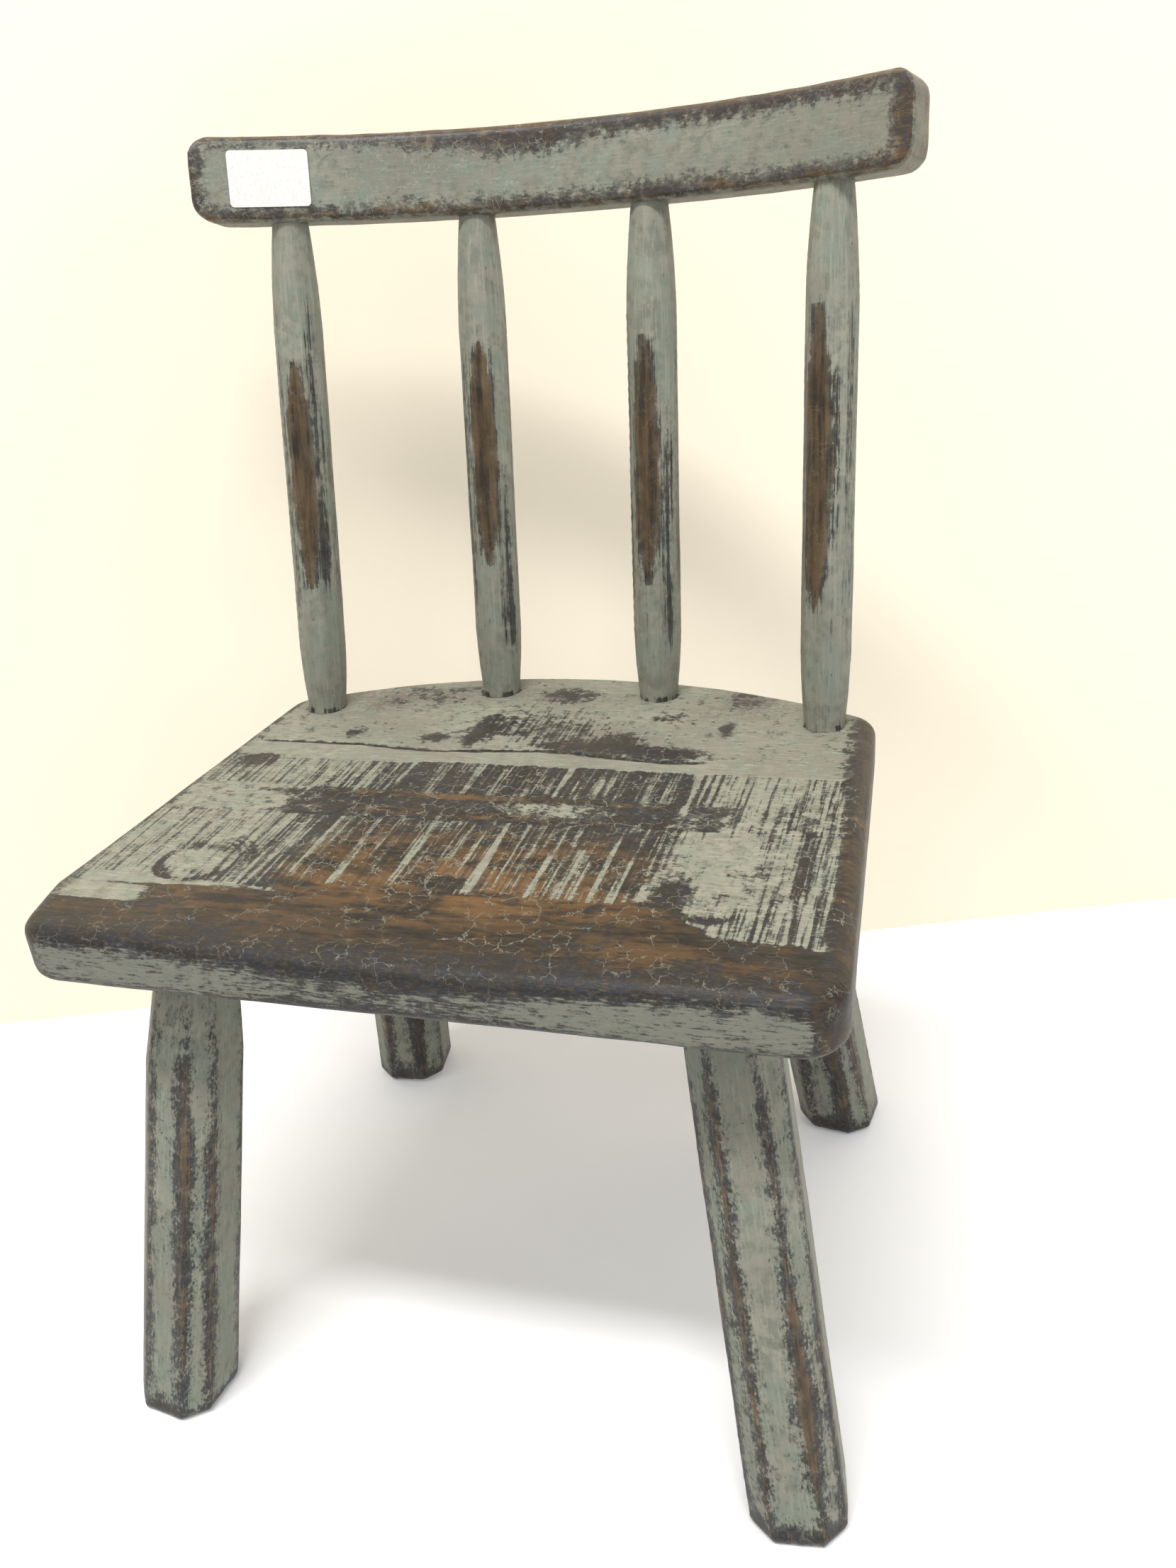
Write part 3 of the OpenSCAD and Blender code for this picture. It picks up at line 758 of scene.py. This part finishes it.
legShape = {
    "footWidth": 42 * mm, "topWidth": 38.5 * mm, "cornerCut": 10 * mm, "turn": 8, "soleChamfer": 4 * mm,
    "neck": {"leg_front_left": (62 * mm, 0.76)}, "plainNeck": (46 * mm, 0.94),  # length and how far it narrows
    "tenonLength": 30 * mm, "grid": 1.25 * mm, "rubs": 2,
}
legWear = {  # compass angle of a corner, then lowest, highest and half width of the rubbed strip in millimetres
    "leg_front_left": (
        (-75, 12, 188, 1.9), (-75, 85, 165, 2.6), (-30, 0, 165, 1.5), (-120, 20, 215, 0.9), (15, 0, 190, 0.7)),
    "leg_front_right": (
        (-105, 0, 215, 1.9), (-60, 20, 205, 1.2), (-60, 20, 120, 3.6), (-15, 0, 150, 0.9), (-150, 0, 190, 1.4)),
    "leg_rear_left": (
        (-60, 0, 200, 3.4), (-105, 10, 190, 2.2), (60, 20, 210, 2.8), (105, 10, 170, 3.2), (-15, 30, 190, 1.6)),
    "leg_rear_right": (
        (-75, 0, 200, 3.0), (-120, 10, 190, 2.6), (75, 20, 210, 3.4), (120, 10, 170, 2.6), (-30, 10, 190, 3.0)),
}

legFlakes = {  # compass angle, half width, lowest and highest place, and how far the paint has thinned there
    "leg_front_left": ((-98, 22, 0, 215, 2.0), (-52, 18, 60, 150, 0.8)),
    "leg_front_right": ((-37, 18, 0, 100, 1.8), (-82, 14, 0, 70, 1.2), (-150, 30, 0, 200, 1.5)),
    "leg_rear_left": ((-80, 30, 0, 230, 2.6), (120, 40, 0, 230, 2.0)),
    "leg_rear_right": ((-90, 30, 0, 230, 2.6), (60, 40, 0, 230, 2.0)),
}


def shapeLeg(node):
    foot, shoulder = levelCentre(node, 0), levelCentre(node, seatUnder)
    side = 1 if foot.x > 0 else -1
    rear = foot.y > 0
    turnBy = math.radians(-side * legShape["turn"] if rear else side * legShape["turn"])
    width = legShape["footWidth"]
    neckLength, neck = legShape["neck"].get(node, legShape["plainNeck"])
    tall = seatUnder - neckLength
    lean = (shoulder - foot) / seatUnder
    startFresh()
    bpy.ops.mesh.primitive_cube_add(size=1, location=(0, 0, tall / 2), scale=(width, width, tall))
    leg = newPiece(node + "_worn")
    editing(leg)
    pick(leg, "EDGE", lambda e: abs(e.verts[0].co.z - e.verts[1].co.z) > tall / 2)
    edgeOff(legShape["cornerCut"], 1)
    pick(leg, "EDGE", lambda e: max(v.co.z for v in e.verts) < 1 * mm)
    edgeOff(legShape["soleChamfer"], 2)
    pick(leg, "FACE", lambda f: f.normal.z > 0.9 and f.calc_center_median().z > tall - 1 * mm)
    taper(1 - (1 - legShape["topWidth"] / width) * tall / seatUnder, tall)
    pullUp(neckLength)
    taper(neck, seatUnder)
    doneEditing()
    leg.rotation_euler = (0, 0, turnBy)
    bpy.ops.object.transform_apply(rotation=True)
    for v in leg.data.vertices:
        v.co.x += foot.x + lean.x * v.co.z
        v.co.y += foot.y + lean.y * v.co.z
    # the round tenon along the leg's own line
    axis = shoulder - foot
    startFresh()
    bpy.ops.mesh.primitive_cylinder_add(vertices=96, radius=seat["tenonAcross"] / 2 * mm, location=shoulder,
                                        depth=legShape["tenonLength"], rotation=axis.to_track_quat("Z", "Y").to_euler())
    tenon = newPiece("tenon")
    startFresh()
    tenon.select_set(True)
    leg.select_set(True)
    bpy.context.view_layer.objects.active = leg
    bpy.ops.object.join()
    return leg, foot, shoulder, turnBy


def legFields(piece, node, foot, shoulder, turnBy, seed):
    p = spots(piece)
    tall = seatUnder / mm
    share = p[:, 2] / tall
    u = p[:, 0] - (foot.x + (shoulder.x - foot.x) * share) / mm
    v = p[:, 1] - (foot.y + (shoulder.y - foot.y) * share) / mm
    width = (legShape["footWidth"] + (legShape["topWidth"] - legShape["footWidth"]) * share) / mm
    cut = legShape["cornerCut"] / mm * width / (legShape["footWidth"] / mm)
    cu, su = math.cos(turnBy), math.sin(turnBy)
    a, b = u * cu + v * su, v * cu - u * su
    flat = width / 2 - cut
    corners = [(sx * width / 2, sy * flat) for sx in (-1, 1) for sy in (-1, 1)]
    corners += [(sx * flat, sy * width / 2) for sx in (-1, 1) for sy in (-1, 1)]
    left = np.full(len(u), 5.5)
    bare = np.full(len(u), -5.0)
    soft = lumps(p, (12, 12, 30), seed)
    small = lumps(p, (5, 5, 14), seed + 1)
    for order, (ca, cb) in enumerate(corners):
        away = np.hypot(a - ca, b - cb)
        angle = math.degrees(math.atan2(cb[0], ca[0])) + math.degrees(turnBy)
        waver = lumps(np.column_stack((p[:, 2], u * 0 + order * 9, v * 0 + seed)), 16, seed + 2)
        rub = 0.9 + 0.7 * waver + 0.5 * small - 1.6 * ramp(p[:, 2], tall - 60, tall - 20)
        core = rub - 1.6
        for at, low, high, half in legWear[node]:
            if abs((angle - at + 180) % 360 - 180) < 22:
                lens = np.clip(1 - ((p[:, 2] - (low + high) / 2) / ((high - low) / 2)) ** 2, 0, 1) ** 0.5
                strip = half * lens * (1 + 0.35 * waver) + 0.5 * small
                rub = np.maximum(rub, strip + 1.1)
                core = np.maximum(core, strip - 0.4)
        left = np.minimum(left, away - rub)
        bare = np.maximum(bare, core - away)
    sole = p[:, 2] - (9 + 5 * lumps(p, (9, 9, 9), seed + 3) + 4 * soft)
    left = np.minimum(left, sole * 0.55)
    bare = np.maximum(bare, -2.2 - sole * 0.25)
    topRing = ramp(p[:, 2], tall - 9, tall - 2)
    left = left - 2.5 * topRing
    left = left + 0.8 * soft
    angleHere = np.degrees(np.arctan2(v, u))
    for at, half, low, high, drop in legFlakes[node]:
        beside = np.abs((angleHere - at + 180) % 360 - 180)
        left -= drop * ramp(-beside, -half - 4, -half + 4) * between(p[:, 2], low, high, 12)
    dig = 0.12 * (lumps(p, (6, 6, 20), seed + 4) + 1) + 0.2 * (lumps(p, (14, 14, 40), seed + 5) + 1)
    dig = dig + 0.35 * ramp(-left, -1, 1.5)
    dig = np.where(p[:, 2] < 0.6, 0, dig)
    pressIn(piece, dig)
    keepPlace(piece, np.column_stack((a + 53 * seed, b, p[:, 2])))
    # painted shade: the top 60 mm of each leg, under the seat, gets a darker green
    keepFields(piece, paintLeft=left, woodBare=bare, streaky=3, ragged=9, dashy=5, warmth=0.5, crazed=0.6,
               smudge=0.25 + 0.25 * lumps(p, 24, seed + 6), dim=0.35 * ramp(p[:, 2], tall - 60, tall))


for seed, node in enumerate(legWear):
    leg, foot, shoulder, turnBy = shapeLeg(node)
    wearRound(leg, legShape)
    legFields(leg, node, foot, shoulder, turnBy, 20 + 7 * seed)
    settle(leg, node, paints["leg"])
print("legs made")

# the spindles: eight-sided in the body and round at both ends

spindleShape = {
    "across": 23 * mm, "footAcross": 20 * mm, "headAcross": 17.5 * mm, "footTaper": 0.14, "headTaper": 0.22,
    "grid": 0.95 * mm, "rubs": 2, "intoSeat": 4 * mm, "intoRail": 6 * mm, "belowTip": 13 * mm,
}
# where each spindle is rubbed through: the compass angle it faces, from and to as shares of the length, half width
# in millimetres, and the dark streak beside it
spindleWear = {
    "spindle_1": {"faces": -79, "patch": (0.26, 0.72), "half": 6.0, "streak": 44, "streakSpan": (0.28, 0.80)},
    "spindle_2": {"faces": -82, "patch": (0.28, 0.74), "half": 5.6, "streak": 50, "streakSpan": (0.12, 0.42)},
    "spindle_3": {"faces": -98, "patch": (0.24, 0.74), "half": 6.2, "streak": 54, "streakSpan": (0.12, 0.55)},
    "spindle_4": {"faces": -115, "patch": (0.22, 0.78), "half": 6.4, "streak": 40, "streakSpan": (0.36, 0.66)},
}


def spindleLine(node):
    # foot on the seat and the direction of the spindle's own line
    where = np.array([v.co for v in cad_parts[node].data.vertices])
    slope = np.polyfit(where[:, 2], where[:, 1], 1)[0]
    return levelCentre(node, seatTop), Vector((0, slope, 1)).normalized()


def shapeSpindle(node):
    foot, line = spindleLine(node)
    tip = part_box(node)[1].z
    length = (tip - seatTop) / line.z - spindleShape["belowTip"]
    startFresh()
    stub = spindleShape["intoSeat"]
    bpy.ops.mesh.primitive_cylinder_add(vertices=16, radius=spindleShape["footAcross"] / 2, depth=stub,
                                        location=(0, 0, -stub / 2))
    spindle = newPiece(node + "_worn")
    editing(spindle)
    at = 0.0
    last = spindleShape["footAcross"]
    stops = [spindleShape["footTaper"] * i / 4 for i in range(1, 5)] + [0.5]
    stops += [1 - spindleShape["headTaper"] * i / 5 for i in range(5, -1, -1)]
    for stop in stops:
        pick(spindle, "FACE", lambda f: f.normal.z > 0.9 and f.calc_center_median().z > at * length - 0.5 * mm)
        pullUp((stop - at) * length)
        full = min(1, stop / spindleShape["footTaper"], (1 - stop) / spindleShape["headTaper"])
        full = full * (2 - full)
        end = spindleShape["footAcross"] if stop < 0.5 else spindleShape["headAcross"]
        across = end + (spindleShape["across"] - end) * full
        taper(across / last, stop * length)
        last, at = across, stop
    pick(spindle, "FACE", lambda f: f.normal.z > 0.9 and f.calc_center_median().z > length - 0.5 * mm)
    pullUp(spindleShape["intoRail"])
    doneEditing()
    # eight flats along the body: every second corner is carved in
    turnBy = math.radians(spindleWear[node]["faces"] + 90)
    for v in spindle.data.vertices:
        angle = math.atan2(v.co.y, v.co.x)
        order = round(math.degrees(angle) / 22.5)
        share = v.co.z / length
        full = max(0, min(1, share / spindleShape["footTaper"], (1 - share) / spindleShape["headTaper"]))
        reach = 1 / math.cos(math.radians(22.5)) if order % 2 else 1
        grow = 1 + (reach - 1) * full
        v.co.x *= grow
        v.co.y *= grow
    turned = Matrix.Rotation(turnBy, 4, "Z")
    straight = Matrix.Rotation(-math.atan2(line.y, line.z), 4, "X")
    spindle.data.transform(Matrix.Translation(foot) @ straight @ turned)
    return spindle, foot, line, length


def spindleFields(piece, node, foot, line, length, seed):
    wear = spindleWear[node]
    p = spots(piece)
    rel = p - np.array(foot) / mm
    along = rel @ np.array(line)
    share = along / (length / mm)
    across = rel - along[:, None] * np.array(line)
    angle = np.degrees(np.arctan2(across[:, 1], across[:, 0]))
    aside = (angle - wear["faces"] + 180) % 360 - 180
    arc = np.radians(aside) * 11.5
    soft = lumps(p, (7, 7, 34), seed)
    small = lumps(p, (3, 3, 11), seed + 1)
    low, high = wear["patch"]
    middle, half = (low + high) / 2, (high - low) / 2
    lens = np.clip(1 - (np.abs(share - middle) / half) ** 2.4, 0, 1) ** 0.75
    strip = (wear["half"] + 0.7) * lens * (1 + 0.14 * soft) + 0.9 * small * (lens > 0)
    strip = np.where(lens > 0, strip, -3 - 30 * np.abs(share - middle) + 30 * half)
    bare = strip - np.abs(arc + 0.6 * soft)
    left = np.minimum(5, -bare - 0.7)
    # dark streaks down the corner beside the patch, and lighter wear on the other corners
    for beside, strength in ((wear["streak"], 2.6), (wear["streak"] + 42, 1.3), (-wear["streak"] - 6, 1.3),
                             (165, 1.4), (-150, 1.2)):
        away = np.abs(np.radians((aside - beside + 180) % 360 - 180)) * 11.5
        span = ramp(share, 0.10, 0.3) * ramp(-share, -0.9, -0.66)
        if beside == wear["streak"]:
            low, high = wear["streakSpan"]
            span = ramp(share, low - 0.08, low + 0.05) * ramp(-share, -high - 0.08, -high + 0.05)
        left = np.minimum(left, away - strength * span * (1 + 0.8 * soft) + 1.0 + 2.5 * (1 - span))
    left = left - 5 * ramp(-along, -1.0, -0.2) * ramp(small, -0.7, 0.5)
    # a dark ring just under the rail: partly dark paint, partly painted shade where the spindle meets the rail
    left = left - 5 * ramp(along, length / mm - 4, length / mm - 1)
    left = left - 1.2 * ramp(-share, -0.12, 0.0) * ramp(small, 0.1, 0.6)
    dig = 0.10 * (lumps(p, (4, 4, 16), seed + 2) + 1) + 0.12 * (lumps(p, (9, 9, 30), seed + 3) + 1)
    dig += 0.35 * ramp(bare, -0.3, 2.0)
    pressIn(piece, dig)
    calm = ramp(bare, -2.0, 0.5)
    keepPlace(piece, np.column_stack((across[:, 0] + 31 * seed, across[:, 1], along)))
    # painted shade: each spindle gets a darker green towards its foot on the seat
    keepFields(piece, paintLeft=left, woodBare=bare + 0.6, streaky=13 - 8 * calm, ragged=6, dashy=6 - 3 * calm,
               warmth=0.4, crazed=0.5, smudge=0.2 + 0.2 * lumps(p, (9, 9, 24), seed + 6),
               dim=0.3 * ramp(-share, -0.5, 0))


for seed, node in enumerate(spindleWear):
    spindle, foot, line, length = shapeSpindle(node)
    wearRound(spindle, spindleShape)
    spindleFields(spindle, node, foot, line, length, 60 + 5 * seed)
    settle(spindle, node, paints["spindle"])
print("spindles made")

# the crest rail: a bent bar with round ends

rail = {
    "bend": 345 * mm, "thick": 25 * mm, "tall": 39 * mm, "length": 335 * mm,
    "edgeRound": 4.5 * mm, "cornerRound": 11 * mm, "endTurn": 12,
    "leanBack": math.radians(9.5), "sweep": math.radians(64), "grid": 1.15 * mm, "rubs": 12,
}
untilt = Matrix.Rotation(rail["leanBack"], 4, "X")
uprightRail = [untilt @ v.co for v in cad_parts["crest_rail"].data.vertices]
railLow = min(v.z for v in uprightRail)
railBack = max(v.y for v in uprightRail)
bendCentre = Vector((0, railBack - rail["thick"] / 2 - rail["bend"], railLow + rail["tall"] / 2))


def shapeRail():
    # a rounded bar swept round its bend while it stands upright, sawn at the ends and leant back last
    startFresh()
    bpy.ops.mesh.primitive_plane_add(size=1)
    bar = bpy.context.object
    bar.name = "crest_rail_worn"
    bar.scale = (rail["thick"], rail["tall"], 1)
    bpy.ops.object.transform_apply(scale=True)
    bar.rotation_euler = (math.radians(90), 0, 0)
    bar.location = (rail["bend"], 0, 0)
    bpy.ops.object.transform_apply(location=True, rotation=True)
    bar.rotation_euler = (0, 0, math.radians(90) + rail["sweep"] / 2)  # the spin runs clockwise
    bar.location = bendCentre
    bpy.ops.object.transform_apply(location=True, rotation=True)
    editing(bar)
    bpy.ops.mesh.select_all(action="SELECT")
    edgeOff(rail["edgeRound"], 4, "VERTICES")
    bpy.ops.mesh.select_all(action="SELECT")
    bpy.ops.mesh.spin(steps=56, angle=rail["sweep"], center=bendCentre, axis=(0, 0, 1))
    bpy.ops.mesh.select_all(action="SELECT")
    bpy.ops.mesh.remove_doubles(threshold=0.01 * mm)
    bpy.ops.mesh.normals_make_consistent(inside=False)
    halfLong = rail["length"] / 2
    inner = rail["bend"] - rail["thick"] / 2
    endY = bendCentre.y + math.sqrt(inner ** 2 - halfLong ** 2)
    turnBy = math.radians(rail["endTurn"])
    for side in (-1, 1):
        out = Vector((side * math.cos(turnBy), -math.sin(turnBy), 0))
        spot = Vector((side * halfLong, endY, bendCentre.z))
        sawOff(bar, spot, out)
        for up in (-1, 1):
            for angle in (15, 30, 45, 60, 75):
                lean = math.radians(angle)
                away = out * math.cos(lean) + Vector((0, 0, up)) * math.sin(lean)
                r = rail["cornerRound"]
                core = spot - out * r + Vector((0, 0, up)) * (rail["tall"] / 2 - r)
                sawOff(bar, core + away * r, away)
        pick(bar, "EDGE", lambda e: len(e.link_faces) == 2 and any(f.normal.dot(out) > 0.999 for f in e.link_faces)
             and not all(f.normal.dot(out) > 0.3 for f in e.link_faces))
        edgeOff(rail["edgeRound"], 4)
    doneEditing()
    bar.rotation_euler = (-rail["leanBack"], 0, 0)
    bpy.ops.object.transform_apply(rotation=True)
    return bar


def railFields(piece):
    p = spots(piece)
    tilt = np.array(untilt.to_3x3())
    q = p @ tilt.T - np.array(bendCentre) / mm
    turned = facing(piece) @ tilt.T
    radius = np.hypot(q[:, 0], q[:, 1])
    along = np.degrees(np.arctan2(q[:, 0], q[:, 1]))
    along = np.radians(along) * rail["bend"] / mm
    height = q[:, 2] + rail["tall"] / mm / 2
    radial = (turned[:, 0] * q[:, 0] + turned[:, 1] * q[:, 1]) / radius
    soft = lumps(p, (16, 16, 9), 90)
    small = lumps(p, (5, 5, 5), 91)
    frontFace = ramp(-radial, 0.72, 0.92)
    backFace = ramp(radial, 0.72, 0.92)
    tall = rail["tall"] / mm
    half = math.asin(rail["length"] / 2 / (rail["bend"] - rail["thick"] / 2)) * rail["bend"] / mm
    topGap = 5.8 + 8.0 * np.exp(-((along + 14) / 44) ** 2) + 2.5 * ramp(along, 20, 70) + 1.3 * soft
    lowGap = 6.4 + 1.0 * soft + 2.0 * np.exp(-((along - 60) / 40) ** 2)
    ends = np.minimum(half - 12.5 - along, along + half - 7.0) + 1.2 * small
    front = np.minimum(np.minimum(height - lowGap, tall - topGap - height), ends)
    rear = np.minimum(height - 6.5 - soft, tall - 7 - 1.5 * soft - height)
    rear = np.minimum(rear, half - 9 - np.abs(along)) + small
    field = np.where(radial < 0, front, rear)
    flat = np.maximum(frontFace, backFace)
    upward = turned[:, 2]
    other = np.where(upward < -0.6, 0.2 + 1.4 * soft, -4.5)
    onEnd = np.abs(along) > half - 9
    other = np.where(onEnd & (np.abs(upward) < 0.5) & (flat < 0.5), -0.8 + 2.2 * soft, other)
    left = np.clip(field, -6, 5.2) * flat + (1 - flat) * other
    edge = 1 - np.maximum(flat, ramp(np.abs(upward), 0.8, 0.95))
    bare = -3.2 + 3.0 * edge + 1.8 * soft + 2.6 * ramp(upward, 0.5, 0.9) + 1.5 * ramp(-upward, 0.5, 0.9)
    bare = np.where(radial < -0.5, bare + 1.6 + 1.2 * ramp(-height, -8, -5), bare)
    bare = np.where((flat > 0.5) & (left > 1), -4, bare)
    dig = 0.10 * (lumps(p, (10, 10, 6), 92) + 1) + 0.16 * (lumps(p, (30, 30, 12), 93) + 1)
    dig = dig + 0.2 * edge * (1 + lumps(p, (20, 20, 20), 94)) / 2
    pressIn(piece, dig)
    keepPlace(piece, np.column_stack((along, radius - rail["bend"] / mm, height)))
    keepFields(piece, paintLeft=left, woodBare=bare, streaky=1, ragged=17, dashy=3.5, warmth=0.5,
               crazed=0.5 + 0.5 * ramp(-along, -60, 40), smudge=0.3 + 0.3 * lumps(p, 28, 95), dim=0)


bar = shapeRail()
wearRound(bar, rail)
railFields(bar)
settle(bar, "crest_rail", paints["rail"])
print("crest rail made")

# the sticker: plain paper on the rail

def paperFinish():
    n = Nodes("stickerPaper")
    place = n.add("ShaderNodeTexCoord").outputs["Object"]
    fibres = n.noise(place, 5, 0.7)
    fibres.node.inputs["Scale"].default_value = 800
    colour = n.mix(n.span(fibres, 0.3, 0.7), shade(222, 221, 219), shade(236, 235, 234))
    rough = n.span(fibres, 0.3, 0.7, 0.38, 0.5)
    return n.shown(n.surface(colour, rough, n.relief(fibres, 0.05 * mm)).outputs[0])


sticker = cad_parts["paper_sticker"]
sticker.data.materials.clear()
sticker.data.materials.append(paperFinish())
print("sticker finished")

# floor, wall, light and camera

room = {"wallDistance": 0.421, "wallTurn": 20, "floor": (238, 239, 242), "wall": (240, 231, 212),
        "floorLift": 0.16, "wallLift": 0.2}


def stageFinish(name, colour, lift, oneSided=False):
    n = Nodes(name)
    plain = n.add("ShaderNodeBsdfDiffuse")
    plain.inputs["Color"].default_value = shade(*colour)
    path = n.add("ShaderNodeLightPath")
    seen = n.math("MAXIMUM", path.outputs["Is Camera Ray"], path.outputs["Is Glossy Ray"])
    glow = n.add("ShaderNodeEmission")
    glow.inputs["Color"].default_value = shade(*colour)
    n.plug(glow.inputs["Strength"], n.times(seen, lift))
    both = n.add("ShaderNodeAddShader")
    n.plug(both.inputs[0], plain.outputs[0])
    n.plug(both.inputs[1], glow.outputs[0])
    result = both.outputs[0]
    if oneSided:
        # nothing is there from behind, so the chair can be looked at all round
        through = n.add("ShaderNodeMixShader")
        n.plug(through.inputs[0], n.add("ShaderNodeNewGeometry").outputs["Backfacing"])
        n.plug(through.inputs[1], result)
        n.plug(through.inputs[2], n.add("ShaderNodeBsdfTransparent").outputs[0])
        result = through.outputs[0]
    return n.shown(result)


startFresh()
bpy.ops.mesh.primitive_plane_add(size=6)
floor = newPiece("floor")
floor.data.materials.append(stageFinish("floorPaper", room["floor"], room["floorLift"]))
startFresh()
bpy.ops.mesh.primitive_plane_add(size=6, location=(0, seatFront + room["wallDistance"], 1.5),
                                 rotation=(math.radians(90), 0, math.radians(room["wallTurn"])))
wall = newPiece("wall")
wall.data.materials.append(stageFinish("wallPaint", room["wall"], room["wallLift"], oneSided=True))

world = bpy.data.worlds.new("studio")
bpy.context.scene.world = world
world.use_nodes = True
sky = world.node_tree.nodes["Background"]
sky.inputs["Color"].default_value = (1, 0.99, 0.97, 1)
sky.inputs["Strength"].default_value = 0.58

lamps = (  # name, place, target, width, height, watts, colour
    ("ceiling", (-0.05, -0.95, 2.45), (0, 0.05, 0.3), 1.4, 0.25, 48, (1, 0.985, 0.96)),
    ("side", (1.7, -0.5, 0.9), (0.1, 0, 0.25), 0.8, 1.2, 5, (0.95, 0.96, 1)),
)
for name, place, target, wide, tall, watts, colour in lamps:
    startFresh()
    bpy.ops.object.light_add(type="AREA", location=place)
    lamp = bpy.context.object
    lamp.name = name
    lamp.rotation_euler = (Vector(target) - Vector(place)).to_track_quat("-Z", "Y").to_euler()
    lamp.data.shape = "RECTANGLE"
    lamp.data.size, lamp.data.size_y = wide, tall
    lamp.data.energy = watts
    lamp.data.color = colour

view = {"place": (0.20697, -0.36639, 0.52469), "turn": 18.253, "tip": -25.430, "roll": -5.176, "lens": 30.76}
startFresh()
bpy.ops.object.camera_add()
camera = bpy.context.object
aim = Matrix.Rotation(math.radians(view["turn"]), 3, "Z") @ Matrix.Rotation(math.radians(90 + view["tip"]), 3, "X")
aim = aim @ Matrix.Rotation(math.radians(view["roll"]), 3, "Z")
camera.matrix_world = Matrix.Translation(Vector(view["place"]) + Vector((0, seatFront, 0))) @ aim.to_4x4()
camera.data.lens = view["lens"]
camera.data.sensor_width = 36
camera.data.clip_start = 0.02
bpy.context.scene.camera = camera
bpy.context.scene.view_settings.view_transform = "Standard"

startFresh()
bpy.context.view_layer.update()
print("scene ready")
